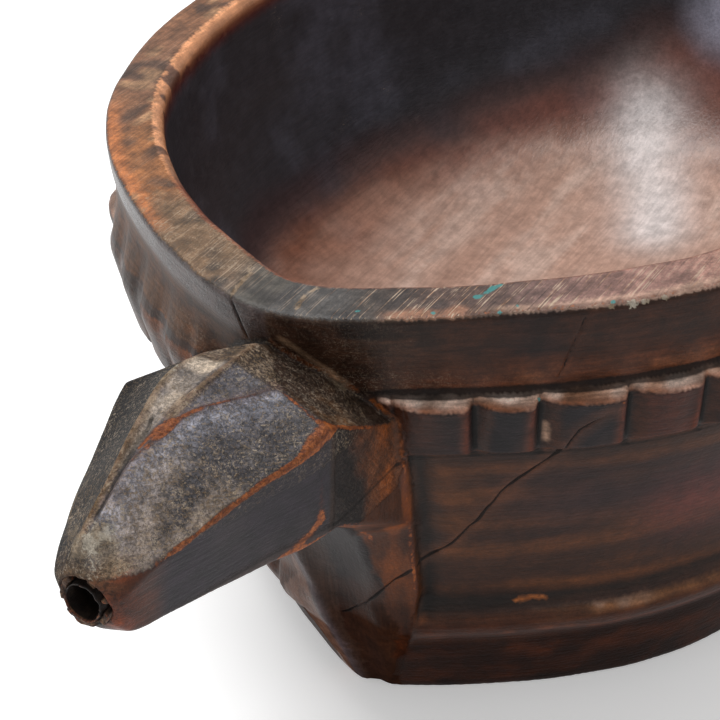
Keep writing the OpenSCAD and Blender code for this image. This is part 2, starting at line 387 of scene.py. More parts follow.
def bores(p, grow=0.0):
    """Positive inside the pouring channel and the seat of its sleeve."""
    q = p - MOUTH
    a = q @ AXIS
    r = np.sqrt(np.maximum((q ** 2).sum(1) - a * a, 0))
    f = np.minimum(2.3 + grow - r, a + 78)
    f = np.maximum(f, np.minimum(3.5 + grow - r, a + 13.3))
    return np.maximum(f, np.minimum(4.4 + grow - r, a + 9))


CRACKS = [  # points, half width, depth; the ones on the wall are measured along it and down it
    ([(47.5, 24.0, -19.6), (43.5, 22.2, -23.1), (38.7, 22.9, -29.5), (34.8, 21.4, -33.5), (31.2, 20.1, -37.6), (26.4, 19.2, -44.6), (21.4, 18.1, -51.5), (17.4, 16.5, -55.6), (14.8, 14.9, -57.6)], 0.2, 0.42),
    ([(-9.0, 9.6, 0.2), (-8.2, 8.4, 0.0), (-7.6, 4.6, 0.0), (-7.1, 1.7, -0.1), (-6.9, 1.0, -0.6), (-5.8, 0.8, -3.1), (-4.9, 0.7, -5.3), (-4.4, 1.3, -7.8)], 0.24, 0.42),
    ([(44.5, 22.6, -1.2), (43.5, 22.0, -4.0), (42.1, 21.8, -7.7), (40.5, 21.8, -11.9), (39.6, 21.6, -14.2)], 0.2, 0.25),
    ([(15.6, 14.9, -56.9), (12.9, 14.2, -59.4), (9.7, 13.6, -63.0), (5.6, 13.6, -67.8), (1.6, 14.2, -71.6), (-0.6, 14.6, -72.8)], 0.2, 0.4),
]


def prow_face(x, y, z):
    """Distance outside the prow's front face, negative in the wood."""
    hw = np.interp(z, [-95, -82.5, -71, -62, -52, -46, -38], [4.2, 6.3, 8.1, 9.0, 10.3, 13, 16])
    xr = np.interp(z, [-95, -85.5, -78, -69.6, -64.5, -58, -50], [-1.8, -2.0, -2.5, -3.6, -5.9, -8.6, -11.5])
    mid, half = (xr + hw) / 2, np.maximum((hw - xr) / 2, 2.0)
    low = step(-z, 44, 56)
    dish = (0.8 * np.clip(1 - ((x - mid) / half) ** 2, 0, 1) - 1.3 * np.exp(-np.abs((x - xr) / 2.6) ** 1.5)) * low
    lift = 5.5 * step(x, 3, 12) * (1 - step(-z, 52, 66))
    return PROW(y - dish, z + lift), xr, hw


def crack_dist(i, p, d=None, s=None):
    """Distance to a crack, along the wall's face where it is on the wall, and how far along the crack."""
    line = np.asarray(CRACKS[i][0], float)
    out, along = np.full(len(p), 1e9), np.zeros(len(p))
    k = ((p > line.min(0) - 7) & (p < line.max(0) + 7)).all(1)
    if k.any():
        if i == 1:
            out[k], along[k] = line_dist(p[k], line)
        elif i == 3:
            wob = 0.2 * noise(p[k], 2.3, 61) + 0.3 * noise(p[k], 7, 62)
            out[k], along[k] = line_dist(np.c_[p[k, 0], p[k, 2] + wob], line[:, [0, 2]])
        else:
            sk = ALONG(np.abs(p[k, 0]), p[k, 1]) if s is None else s[k]
            ls = ALONG(np.abs(line[:, 0]), line[:, 1])
            wob = 0.22 * noise(p[k], 2.3, 61) + 0.4 * noise(p[k], 7, 62)
            out[k], along[k] = line_dist(np.c_[sk + wob, p[k, 2]], np.c_[ls, line[:, 2]])
    return out, along


def unevenness():
    """The hand-carved unevenness, as a coarse grid of small shifts: three of position and one of edge wear."""
    lo, dx = np.array([-90.0, -58.0, -102.0]), 2.4
    n = np.ceil((np.array([90.0, 206.0, 8.0]) - lo) / dx).astype(int) + 1
    X, Y, Z = np.meshgrid(*[lo[i] + np.arange(n[i]) * dx for i in range(3)], indexing="ij")
    p = np.c_[X.ravel(), Y.ravel(), Z.ravel()]
    w = np.c_[noise(p, 26, 1), noise(p, 26, 2), noise(p, 24, 3)] * 0.34 + np.c_[noise(p, 9, 4), noise(p, 9, 5), noise(p, 9, 6)] * 0.13
    return lo, dx, n, np.c_[w, noise(p, (7, 7, 30), 21)]


UNEVEN = unevenness()


def uneven(p):
    lo, dx, n, a = UNEVEN
    u = np.clip((p - lo) / dx, 0, n - 1.001)
    i = u.astype(np.int64)
    f = u - i
    base = (i[:, 0] * n[1] + i[:, 1]) * n[2] + i[:, 2]
    out = 0.0
    for cx in (0, 1):
        wx = f[:, 0] if cx else 1 - f[:, 0]
        for cy in (0, 1):
            wy = wx * (f[:, 1] if cy else 1 - f[:, 1])
            for cz in (0, 1):
                wz = wy * (f[:, 2] if cz else 1 - f[:, 2])
                out = out + a[base + (cx * n[1] + cy) * n[2] + cz] * wz[:, None]
    return out


def solid_part(p, cut):
    w = uneven(p)
    q, nick = p + w[:, :3], w[:, 3]
    z = q[:, 2]
    d = INSET(np.abs(q[:, 0]), q[:, 1])
    s = ALONG(np.abs(q[:, 0]), q[:, 1])
    f = wall(q, d, s, z)
    left = step(-p[:, 0], 8, 30)
    f = smin(f, (d - z - (0.55 + 0.22 * nick)) * 0.7071, 0.6)
    near = (p[:, 1] < 30) & (np.abs(p[:, 0]) < 34) & (z < 2)
    if near.any():
        qn, fn = q[near], f[near]
        fn = smax(fn, head(qn), 1.1)
        fn = smin(fn, -prow_face(qn[:, 0], qn[:, 1], qn[:, 2])[0], 0.7)
        f[near] = fn
    f = smin(f, -hollow(q), 1.2)
    f = smin(f, (10.5 - np.clip(d, 0, 14) - z - (0.75 + 0.75 * left + 0.25 * nick)) * 0.7071, 0.6)
    f = smin(f, -z, 0.7)
    for i, (line, hw, dp) in enumerate(CRACKS):
        e, t = crack_dist(i, p, d, s)
        k = e < 3
        if k.any():
            prof = np.exp(-((e[k] / hw) ** 2)) * step(t[k], 0, 0.08) * (1 - step(t[k], 0.92, 1.0))
            f[k] -= dp * prof
    f = smin(f, p[:, 2] + 95.0, 0.8)
    if cut:
        f = smin(f, -bores(p), 0.25)
    return f


POOL = ThreadPoolExecutor(4)


def solid(p, cut=True):
    """The carved body: positive inside."""
    if len(p) < 4000:
        return solid_part(p, cut)
    parts = [p[i:i + 20000] for i in range(0, len(p), 20000)]
    return np.concatenate(list(POOL.map(lambda a: solid_part(a, cut), parts)))


TETRA = np.array([[1, -1, -1], [-1, -1, 1], [-1, 1, -1], [1, 1, 1.0]])


def value_gradient(p, fun, h=0.03):
    vals = [fun(p + h * e) for e in TETRA]
    g = sum(v[:, None] * e for v, e in zip(vals, TETRA)) / (4 * h)
    return sum(vals) / 4, g


def project(v, fun, rounds=2, most=1.2):
    """Moves points onto the surface."""
    v = v.copy()
    for _ in range(rounds):
        f, g = value_gradient(v, fun)
        m = -f / np.maximum((g ** 2).sum(1), 0.05)
        step_ = g * m[:, None]
        n = np.sqrt((step_ ** 2).sum(1))
        v += step_ * np.minimum(1, most / np.maximum(n, 1e-9))[:, None]
    return v


# ---------------------------------------------------------------- meshing
def edges_of(t):
    e = np.sort(np.vstack([t[:, [0, 1]], t[:, [1, 2]], t[:, [2, 0]]]), axis=1)
    key = e[:, 0].astype(np.int64) * (1 << 32) + e[:, 1]
    u, inv = np.unique(key, return_inverse=True)
    return np.c_[u >> 32, u & 0xFFFFFFFF].astype(np.int64), inv.reshape(3, -1).T


def split_long(v, t, size):
    """Splits every edge longer than its size; returns the new mesh and how many were split."""
    e, te = edges_of(t)
    ln = np.sqrt(((v[e[:, 0]] - v[e[:, 1]]) ** 2).sum(1))
    mark = ln > size((v[e[:, 0]] + v[e[:, 1]]) / 2)
    longest = te[np.arange(len(t)), ln[te].argmax(1)]
    for _ in range(6):
        need = mark[te].any(1) & ~mark[longest]
        if not need.any():
            break
        mark[longest[need]] = True
    ids = np.full(len(e), -1)
    ids[mark] = len(v) + np.arange(mark.sum())
    v2 = np.vstack([v, (v[e[mark, 0]] + v[e[mark, 1]]) / 2])
    m = ids[te]
    out = [t[(m < 0).all(1)]]
    cnt = (m >= 0).sum(1)
    for r in range(3):  # turn each triangle so that the marked edges come in a known order
        tt, mm = np.roll(t, -r, axis=1), np.roll(m, -r, axis=1)
        a, b, c, x, y, z = tt[:, 0], tt[:, 1], tt[:, 2], mm[:, 0], mm[:, 1], mm[:, 2]
        one = (cnt == 1) & (x >= 0)
        out += [np.c_[a, x, c][one], np.c_[x, b, c][one]]
        two = (cnt == 2) & (x >= 0) & (y >= 0)
        out.append(np.c_[x, b, y][two])
        ia, iy = np.where(two)[0], None
        p, q = v2[x[ia]] - v2[c[ia]], v2[a[ia]] - v2[y[ia]]
        short = (p ** 2).sum(1) < (q ** 2).sum(1)
        k1, k2 = ia[short], ia[~short]
        out += [np.c_[a, x, c][k1], np.c_[x, y, c][k1], np.c_[a, x, y][k2], np.c_[a, y, c][k2]]
    three = cnt == 3
    a, b, c, x, y, z = *t[three].T, *m[three].T
    out += [np.c_[a, x, z], np.c_[x, b, y], np.c_[z, y, c], np.c_[x, y, z]]
    return v2, np.vstack(out), int(mark.sum())


def relax(v, t, amount=0.5):
    """Evens out the points along the surface."""
    e, _ = edges_of(t)
    acc, cnt = np.zeros_like(v), np.zeros(len(v))
    for a, b in ((0, 1), (1, 0)):
        np.add.at(acc, e[:, a], v[e[:, b]])
        np.add.at(cnt, e[:, a], 1)
    d = acc / np.maximum(cnt, 1)[:, None] - v
    fn = np.cross(v[t[:, 1]] - v[t[:, 0]], v[t[:, 2]] - v[t[:, 0]])
    n = np.zeros_like(v)
    for i in range(3):
        np.add.at(n, t[:, i], fn)
    n /= np.maximum(np.sqrt((n ** 2).sum(1)), 1e-12)[:, None]
    d -= (d * n).sum(1)[:, None] * n
    return v + amount * d


def flip_edges(v, t, rounds=2):
    """Swaps an edge for the other diagonal where that makes better triangles and keeps the surface's turn small."""
    for _ in range(rounds):
        e, te = edges_of(t)
        order = np.argsort(te.ravel(), kind="stable")
        flat = te.ravel()[order]
        tri = order // 3
        cor = order % 3
        first = np.searchsorted(flat, np.arange(len(e)))
        count = np.diff(np.r_[first, len(flat)])
        ok = count == 2
        f0, f1 = first[ok], first[ok] + 1
        t0, c0, t1, c1 = tri[f0], cor[f0], tri[f1], cor[f1]
        a, b, c = t[t0, c0], t[t0, (c0 + 1) % 3], t[t0, (c0 + 2) % 3]
        d = t[t1, (c1 + 2) % 3]
        good = (t[t1, c1] == b) & (t[t1, (c1 + 1) % 3] == a)

        def ang(p, q, r):  # angle at q
            x, y = v[p] - v[q], v[r] - v[q]
            return np.arccos(np.clip((x * y).sum(1) / np.maximum(np.sqrt((x * x).sum(1) * (y * y).sum(1)), 1e-12), -1, 1))

        want = good & (ang(a, c, b) + ang(a, d, b) > math.pi + 0.05)
        n0 = np.cross(v[b] - v[a], v[c] - v[a])
        n1 = np.cross(v[a] - v[b], v[d] - v[b])
        m0 = np.cross(v[d] - v[c], v[b] - v[c]) * -1
        m1 = np.cross(v[c] - v[d], v[a] - v[d]) * -1
        unit = lambda x: x / np.maximum(np.sqrt((x * x).sum(1)), 1e-12)[:, None]
        n0, n1, m0, m1 = map(unit, (n0, n1, m0, m1))
        want &= ((n0 * n1).sum(1) > 0.9) & (np.abs((m0 * m1).sum(1)) > 0.9) & ((m0 * n0).sum(1) > 0.5) & ((m1 * n0).sum(1) > 0.5)
        used = np.zeros(len(t), bool)
        idx = np.where(want)[0]
        have = set((e[:, 0] * (1 << 32) + e[:, 1]).tolist())
        done = 0
        for i in idx:
            x, y = t0[i], t1[i]
            if used[x] or used[y]:
                continue
            p, q = int(min(c[i], d[i])), int(max(c[i], d[i]))
            if p * (1 << 32) + q in have:
                continue
            have.add(p * (1 << 32) + q)
            used[x] = used[y] = True
            t[x] = (a[i], d[i], c[i])
            t[y] = (d[i], b[i], c[i])
            done += 1
        if not done:
            break
    return t


def base_mesh(fun, voxel):
    lo, hi = np.array([-87.0, -54.0, -99.0]), np.array([87.0, 203.0, 4.0])
    n = np.ceil((hi - lo) / voxel).astype(int) + 1
    ax = [lo[i] + np.arange(n[i]) * voxel for i in range(3)]
    vals = np.empty(n, np.float32)
    for i, x in enumerate(ax[0]):
        Y, Z = np.meshgrid(ax[1], ax[2], indexing="ij")
        vals[i] = fun(np.c_[np.full(Y.size, x), Y.ravel(), Z.ravel()]).reshape(Y.shape)
    g = vdb.FloatGrid(3.0 * voxel)
    g.copyFromArray(np.clip(-vals, -3 * voxel, 3 * voxel))
    pts, quads = g.convertToQuads(isovalue=0)
    pts = np.asarray(pts, float) * voxel + lo
    q = np.asarray(quads).astype(np.int64)
    a, b = pts[q[:, 0]] - pts[q[:, 2]], pts[q[:, 1]] - pts[q[:, 3]]
    s = ((a ** 2).sum(1) <= (b ** 2).sum(1))[:, None]
    t = np.vstack([np.where(s, q[:, [0, 1, 2]], q[:, [0, 1, 3]]), np.where(s, q[:, [0, 2, 3]], q[:, [1, 2, 3]])])
    return pts, t


def mesh_object(name, v, t, row=True):
    me = bpy.data.meshes.new(name)
    co = to_row(v) if row else v
    me.vertices.add(len(co))
    me.vertices.foreach_set("co", co.astype(np.float32).ravel())
    me.loops.add(len(t) * 3)
    me.loops.foreach_set("vertex_index", t.astype(np.int32).ravel())
    me.polygons.add(len(t))
    me.polygons.foreach_set("loop_start", np.arange(0, len(t) * 3, 3, dtype=np.int32))
    me.polygons.foreach_set("use_smooth", np.ones(len(t), bool))
    me.update(calc_edges=True)
    me.validate()
    ob = bpy.data.objects.new(name, me)
    bpy.context.scene.collection.objects.link(ob)
    return ob


def mesh_arrays(ob):
    me = ob.data
    me.calc_loop_triangles()
    v = np.empty(len(me.vertices) * 3, np.float32)
    me.vertices.foreach_get("co", v)
    t = np.empty(len(me.loop_triangles) * 3, np.int32)
    me.loop_triangles.foreach_get("vertices", t)
    return v.reshape(-1, 3).astype(float), t.reshape(-1, 3).astype(np.int64)


COARSE = 1.0


def size_map(p):
    """How long a mesh edge may be at each place, in millimetres."""
    x, y, z = p.T
    d = INSET(np.abs(x), y)
    near = step(60 - y, 0, 40) * step(x, -75, -45)
    s = np.where(d > 9.5, 2.6, 2.0 - 0.75 * near)
    s = np.where(z < -94, 4.0, s)
    s = np.where((z < -91) & (d > 16) & (d < 23.5), 1.25, s)
    s = np.where((z > -80) & (z < -62) & (d < 17) , np.minimum(s, 1.5 - 0.5 * near), s)
    s = np.where((z > -30) & (z < -13) & (d < 5.5), np.minimum(s, 0.95 - 0.25 * near), s)
    s = np.where((z > -0.6) & (d < 11.5), 1.3 - 0.3 * near, s)
    s = np.where((z > -2.2) & ((np.abs(d - 10.2) < 1.6) | (d < 1.2)), 0.75 - 0.15 * near, s)
    hd = (y < 16) & (np.abs(x) < 20) & (z < -3) & (z > -42) & (d < 2.5)
    s = np.where(hd, np.minimum(s, 0.64), s)
    tip = np.sqrt(((p - MOUTH) ** 2).sum(1))
    s = np.where(tip < 9, np.minimum(s, 0.6), s)
    for i in range(len(CRACKS)):
        e, _ = crack_dist(i, p)
        s = np.where(e < 1.3, np.minimum(s, 0.42), s)
    return s * COARSE


def build_vessel():
    v, t = base_mesh(lambda p: solid(p, cut=False), 2.0)
    print("base", len(v), round(time.time() - T0, 1), flush=True)
    fun = lambda p: solid(p, cut=False)
    v = project(v, fun, 3, 1.5)
    v = relax(v, t, 0.6)
    v = project(v, fun, 1)
    tip_size = lambda p: np.where((p[:, 1] < 4) & (np.abs(p[:, 0]) < 24), 1.1, np.maximum(size_map(p), 1.6))
    for _ in range(3):
        v, t, k = split_long(v, t, tip_size)
        v = project(v, fun, 2)
        v = relax(v, t, 0.5)
        v = project(v, fun, 1)
    print("stage a", len(v), round(time.time() - T0, 1), flush=True)
    # the channel is cut with a lathed tool, then everything is drawn onto the exact surface
    body = mesh_object("work", v, t, row=False)
    prof = [(0, 3.0), (3.95, 3.0), (3.95, -8.6), (3.05, -8.6), (3.05, -13.0), (1.95, -13.0), (1.95, -77.0), (0, -77.0)]
    bm = bmesh.new()
    n = 28
    rings = []
    for r, a in prof:
        if r == 0:
            rings.append([bm.verts.new(MOUTH + AXIS * a)])
        else:
            rings.append([bm.verts.new(MOUTH + AXIS * a + r * (math.cos(2 * math.pi * i / n) * side_x + math.sin(2 * math.pi * i / n) * side_z)) for i in range(n)])
    for A, B in zip(rings[:-1], rings[1:]):
        for i in range(n):
            j = (i + 1) % n
            if len(A) == 1:
                bm.faces.new((A[0], B[i], B[j]))
            elif len(B) == 1:
                bm.faces.new((A[i], B[0], A[j]))
            else:
                bm.faces.new((A[i], B[i], B[j], A[j]))
    bmesh.ops.recalc_face_normals(bm, faces=bm.faces)
    tm = bpy.data.meshes.new("tool")
    bm.to_mesh(tm)
    bm.free()
    tool = bpy.data.objects.new("tool", tm)
    bpy.context.scene.collection.objects.link(tool)
    mod = body.modifiers.new("cut", "BOOLEAN")
    mod.object, mod.operation, mod.solver = tool, "DIFFERENCE", "EXACT"
    dg = bpy.context.evaluated_depsgraph_get()
    ev = body.evaluated_get(dg)
    done = bpy.data.meshes.new_from_object(ev)
    body.modifiers.clear()
    old = body.data
    body.data = done
    bpy.data.meshes.remove(old)
    v, t = mesh_arrays(body)
    bpy.data.objects.remove(body)
    bpy.data.objects.remove(tool)
    print("boolean", len(v), round(time.time() - T0, 1), flush=True)
    v = project(v, solid, 2)
    for i in range(5):
        v, t, k = split_long(v, t, size_map)
        v = project(v, solid, 1)
        v = relax(v, t, 0.45)
        v = project(v, solid, 1)
        print("refine", i, len(v), len(t), k, round(time.time() - T0, 1), flush=True)
        if k < 50:
            break
    t = flip_edges(v, t, 1)
    v = relax(v, t, 0.4)
    v = project(v, solid, 2, 0.6)
    return v, t


T0 = time.time()
V, T = build_vessel()
print("mesh", len(V), len(T), round(time.time() - T0, 1), flush=True)
vessel = mesh_object("vessel_carved", V, T)


# ---------------------------------------------------------------- looks: one set of numbers for each point
def lin(h):
    """A colour such as "b5562a" as linear light."""
    c = np.array([int(h[i:i + 2], 16) for i in (0, 2, 4)]) / 255.0
    return np.where(c <= 0.04045, c / 12.92, ((c + 0.055) / 1.055) ** 2.4)


def normals_of(v, t):
    fn = np.cross(v[t[:, 1]] - v[t[:, 0]], v[t[:, 2]] - v[t[:, 0]])
    n = np.zeros_like(v)
    for i in range(3):
        np.add.at(n, t[:, i], fn)
    return n / np.maximum(np.sqrt((n ** 2).sum(1)), 1e-12)[:, None]


def sharpness(p, h):
    """Above zero on edges that stand out, below zero in creases."""
    acc = 0.0
    for e in np.array([[1, 1, 1], [1, 1, -1], [1, -1, 1], [1, -1, -1], [-1, 1, 1], [-1, 1, -1], [-1, -1, 1], [-1, -1, -1.0]]) / math.sqrt(3):
        acc = acc - solid(p + h * e)
    return acc / (8 * h)


def stroke(p, pts, w):
    """One on a line, falling to nothing at w millimetres from it; w may be a list, from the line's start to its end."""
    pts = np.asarray(pts, float)
    out = np.zeros(len(p))
    big = np.max(w)
    k = ((p > pts.min(0) - big) & (p < pts.max(0) + big)).all(1)
    if k.any():
        e, t = line_dist(p[k], pts) if len(pts) > 1 else (np.sqrt(((p[k] - pts[0]) ** 2).sum(1)), np.zeros(int(k.sum())))
        ww = np.interp(t, np.linspace(0, 1, len(w)), w) if np.ndim(w) else w
        out[k] = np.clip(1 - e / ww, 0, 1)
    return out


EDGE_LOW = [(18.1, -10.8, -9.8), (17.6, -14.8, -10.8), (17.1, -17.5, -11.8), (16.0, -20.5, -12.2), (14.8, -23.5, -12.6), (12.6, -30.9, -13.8), (11.0, -35.1, -15.1), (9.2, -39.1, -16.3), (8.2, -42.0, -16.6)]
EDGE_BACK = [(2.6, 0.0, -5.4), (3.8, -4.5, -5.6), (7.6, -8.9, -6.6), (8.9, -9.3, -7.0), (12.2, -10.0, -8.0), (15.8, -10.9, -9.0), (18.0, -10.8, -9.6)]
UNDER_R = [(8.5, -33, -30.2), (12.3, -24, -30.8), (14.6, -14.6, -31.0), (16.2, -7.0, -31.0)]


class Look:
    """The colour and the masks of every point of the carved body."""

    def __init__(self, p, n):
        m = len(p)
        self.p = p
        self.col = np.tile(lin("3a2c24"), (m, 1))
        self.wear, self.tan, self.grime_and_shade = np.zeros(m), np.zeros(m), np.zeros(m)
        self.scratch, self.rough, self.crinkle = np.zeros(m), np.full(m, 0.42), np.full(m, 0.25)
        self.chalk, self.green, self.detail, self.gloss = np.zeros(m), np.zeros(m), np.ones(m), np.ones(m)
        self.grain = p[:, [1, 0, 2]].copy()

    def mix(self, hexa, mask):
        mask = np.clip(mask, 0, 1)[:, None]
        self.col = self.col * (1 - mask) + lin(hexa) * mask

    def put(self, name, value, mask):
        a = getattr(self, name)
        mask = np.clip(mask, 0, 1)
        setattr(self, name, a * (1 - mask) + value * mask)

    def add(self, name, amount):
        setattr(self, name, getattr(self, name) + amount)

    def tint(self, gain, mask):
        """Multiply the colour by gain (red, green, blue) where mask is one."""
        mask = np.clip(mask, 0, 1)[:, None]
        self.col = self.col * (1 - mask + mask * np.asarray(gain))


def look_of(p, n):
    L = Look(p, n)
    q = p + uneven(p)[:, :3]
    x, y, z = q.T
    d, s = INSET(np.abs(x), y), ALONG(np.abs(x), y)
    left = x < 0
    blend = np.interp(y, [0, 60, 197], [0.6, 4, 16])
    lf = 1 - step(x, -blend, blend)
    e1 = sharpness(p, 0.9)
    big, mid, fine = noise(p, 22, 31), noise(p, 8, 32), noise(p, 3.2, 33)
    inside = (hollow(q) > -5) & (z < -0.5) & (d > 8.5)
    rim = (z > -0.9) & (n[:, 2] > 0.75) & (d < 10.8) & ~inside
    outer = ~inside & ~rim
    way = np.where(outer[:, None], np.c_[s, d, z], np.c_[y, x, z])
    along = noise(way, (34, 5, 3.6), 34)
    along2 = noise(way, (22, 3, 1.7), 35)
    nose = 1 - step(s, 14, 40)

    # the hollow: near black walls, a light worn floor
    k = inside.astype(float)
    zb = np.interp(y, [0, 40, 78, 142, 150, 163, 174, 180, 197], [-50, -46, -45, -46, -44.5, -41, -36.7, -31.5, -29])
    t = z - zb + 1.6 * mid + 1.2 * big
    # painted sheen: the wall's near-black is lifted to bluish grey and given lighter blue-grey clouds, standing in for
    # reflections on the dark wood
    L.mix("333237", k)
    L.mix("4b4c57", k * 0.65 * step(0.6 * big + 0.5 * mid + 0.2 * fine, -0.1, 0.8))
    L.mix("3c2422", k * 0.6 * np.exp(-((t - 3.5) / 3.0) ** 2))
    floor_ = k * (1 - step(t, -6.0, 5.0))
    L.mix("6a4337", floor_)
    pale = floor_ * step(-z + 1.5 * along + 1.5 * mid, 45.0, 54)
    wide = noise(p + 2.5 * noise(p, 18, 46)[:, None], (7, 48, 7), 43)
    thin = noise(p + 1.5 * noise(p, 9, 47)[:, None], (1.5, 14, 1.5), 44)
    L.mix("b28e7d", pale * 0.97)
    L.mix("cdb5a8", pale * 0.5 * step(0.7 * wide + 0.25 * mid + 0.8 * thin, -0.3, 0.9))
    L.mix("94705f", pale * 0.45 * step(-0.5 * wide + 0.9 * thin, 0.0, 0.9))
    L.mix("84492c", floor_ * np.exp(-((t + 4.5) / 4.0) ** 2) * (1 - step(y, 95, 150)) * 0.6)
    L.mix("7a4034", floor_ * np.exp(-((t + 3.0) / 3.0) ** 2) * step(y, 110, 160) * 0.45)
    # painted highlight: a soft whitish streak on the far end of the floor, where a softbox's reflection would sit
    highlight_gap = (1 - stroke(p, [(-13, 171, -45), (-9, 161, -51), (0, 147, -56), (4, 138, -57)], 20)) * 20
    L.mix("e9e4e3", k * 0.66 * np.exp(-((highlight_gap + 1.0 * wide + 0.8 * thin) / 8.0) ** 2))
    # painted reflection: a light blue-grey patch high on the far wall
    L.mix("9c9dae", k * 0.9 * step(stroke(p, [(0, 185, -27), (20, 182, -27)], 14) + 0.1 * mid, 0.0, 0.85))
    L.put("rough", 0.38, k)
    L.put("rough", 0.4 - 0.1 * step(y, 120, 150), floor_)
    L.put("crinkle", 0.08, k)
    L.put("detail", 0.45, k)
    L.add("tan", k * (1 - floor_) * 0.22 * step(noise(p, (2.5, 9, 2.5), 36), 0.5, 0.85))

    # the rim
    k = rim.astype(float)
    L.mix("3b3833", k)
    right = k * (1 - lf)
    L.mix("55423c", right * step(s, 10, 30))
    L.mix("71544a", right * step(s, 34, 62))
    L.mix("8a6450", right * step(s, 60, 110))
    L.mix("67503c", k * lf * step(s + 4 * mid, 8, 20))
    L.mix("85542f", k * lf * step(s + 5 * mid, 34, 50) * (0.75 + 0.25 * mid))
    L.mix("6a4a38", k * lf * step(s + 8 * mid, 66, 90))
    L.mix("7a5238", k * lf * step(s, 100, 150))
    L.mix("2c2a2b", k * 0.5 * step(mid + 0.6 * fine, 0.35, 0.95))
    L.put("rough", 0.5, k)
    L.put("crinkle", 0.3, k)
    L.add("tan", k * np.where(left, 0.4 * step(s, 6, 16) * (1 - step(s, 36, 58)), 0.12) + k * 0.1 * step(big, 0.1, 0.6))
    L.add("scratch", k * np.where(left, 0.12 + 0.35 * step(s, 3, 12) * (1 - step(s, 24, 50)), 0.6 + 0.5 * step(s, 16, 24) * (1 - step(s, 44, 60))) * (0.6 + 0.4 * step(s, 6, 12)))
    edge = np.exp(-((d - 0.9) / 1.1) ** 2)
    L.add("wear", k * edge * np.where(left, 0.2, 0.42 * step(s, 22, 34)))
    L.mix("a8663a", k * lf * step(s, 30, 38) * (1 - step(s, 74, 90)) * np.exp(-((d - 1.5 + 0.6 * fine) / 1.5) ** 2) * 0.9)
    L.mix("a98a74", right * step(s, 30, 40) * (1 - step(d, 1.4, 3.2)) * (0.55 + 0.3 * fine))
    L.mix("a8765a", right * step(s, 17, 22) * (1 - step(s, 30, 36)) * (1 - step(d + 1.5 * fine, 1.0, 3.2)) * 0.65)
    L.tint((1.6, 1.62, 1.85), k * (1 - step(s + 3 * mid, 10, 20)) * (1 - 0.5 * lf))
    L.tint((1.5, 1.5, 1.6), right * step(s, 34, 46))
    L.mix("221f20", k * (1 - step(s + 3 * mid, 16, 26)) * step(fine + 0.5 * mid, 0.1, 0.8) * 0.6)
    L.tint((1.12, 1.08, 1.0), k * lf)
    L.add("chalk", k * np.exp(-((d - 0.35) / 0.9) ** 2) * 0.35 * (1 - step(s, 24, 34)) * (1 - lf))
    L.mix("33231c", k * lf * step(s, 30, 44) * step(fine + 0.4 * mid, 0.4, 1.0) * 0.5)
    L.mix("b08a66", k * lf * step(s, 30, 44) * step(-fine + 0.4 * mid, 0.35, 0.95) * 0.5)
    bevel = (d > 8.6) & (d < 11.2) & (z > -3.2) & (z < -0.05)
    kb = bevel.astype(float)
    peach = kb * lf * (step(s, 57, 64) + 0.55 * step(s, 44, 54) * (1 - step(s, 57, 64)))
    L.mix("d8976c", peach * (0.9 + 0.1 * fine))
    L.mix("30262a", peach * step(fine + 0.5 * mid, 0.55, 0.8) * 0.8)
    L.mix("8a4a30", kb * lf * (1 - step(s, 44, 54)) * 0.7)
    L.mix("7a5040", kb * (1 - lf) * 0.7)
    L.mix("5a1f12", inside * lf * np.exp(-((z + 3.4) / 1.3) ** 2) * step(s, 50, 70) * 0.9)
    L.put("rough", 0.36, peach)

    L.grain[outer] = np.c_[s, z, d][outer]

    # the wall between rim and band
    wl = outer & (z > -16.2)
    k = wl.astype(float)
    L.mix("3a271b", k)
    L.mix("221b1c", k * step(mid + 0.6 * along, 0.0, 0.8) * 0.85)
    L.mix("60402a", k * step(-z + 1.5 * mid, 8.0, 13.5) * step(s, 14, 26) * 0.85)
    L.mix("8a6444", k * np.exp(-((z + 13.3) / 1.3) ** 2) * step(s, 16, 30) * step(mid + fine, -0.3, 0.9) * 0.6)
    L.mix("4d3c2c", k * nose * (0.55 + 0.4 * mid))
    L.mix("1d1815", k * nose * (1 - lf) * step(mid + 0.5 * along2, 0.15, 0.7) * 0.8)
    L.add("tan", k * 0.1 * step(-z, 9, 13) * step(s, 3, 12) + k * nose * 0.14)
    L.tint((0.9, 0.74, 0.68), k * (1 - lf) * step(s, 12, 24))
    L.tint((0.66, 0.6, 0.6), k * (1 - lf) * (1 - step(s, 12, 24)))
    L.tint((0.82, 0.72, 0.72), k * lf)
    nl = k * lf * (1 - step(s, 62, 96))
    L.mix("56402f", nl)
    L.mix("7d5431", nl * step(-z + 1.5 * mid, 5, 9) * step(along + 0.6 * fine, -0.1, 0.7) * 0.8)
    L.mix("251d1a", nl * step(-along2 + 0.6 * mid, 0.25, 0.75) * step(-z, 5, 9) * 0.85)
    # painted sheen: a blue-grey band on the left wall just under the rim
    L.mix("4a4648", nl * (1 - step(-z, 4.0, 8.0)) * 0.8)
    L.put("rough", 0.28, k * lf * (1 - step(s, 70, 110)) * (1 - step(-z, 5, 9)))
    L.put("rough", 0.5, nl * step(-z, 5, 9))
    L.add("grime_and_shade", k * np.exp(-((z + 15.2) / 0.9) ** 2) * step(s, 14, 20) * (0.7 - 0.7 * lf * (1 - step(s, 60, 95))))
    # painted shadow: a thin dark line just under the rim's overhanging edge
    L.add("grime_and_shade", k * np.exp(-((z + 1.4) / 0.7) ** 2) * 0.2)

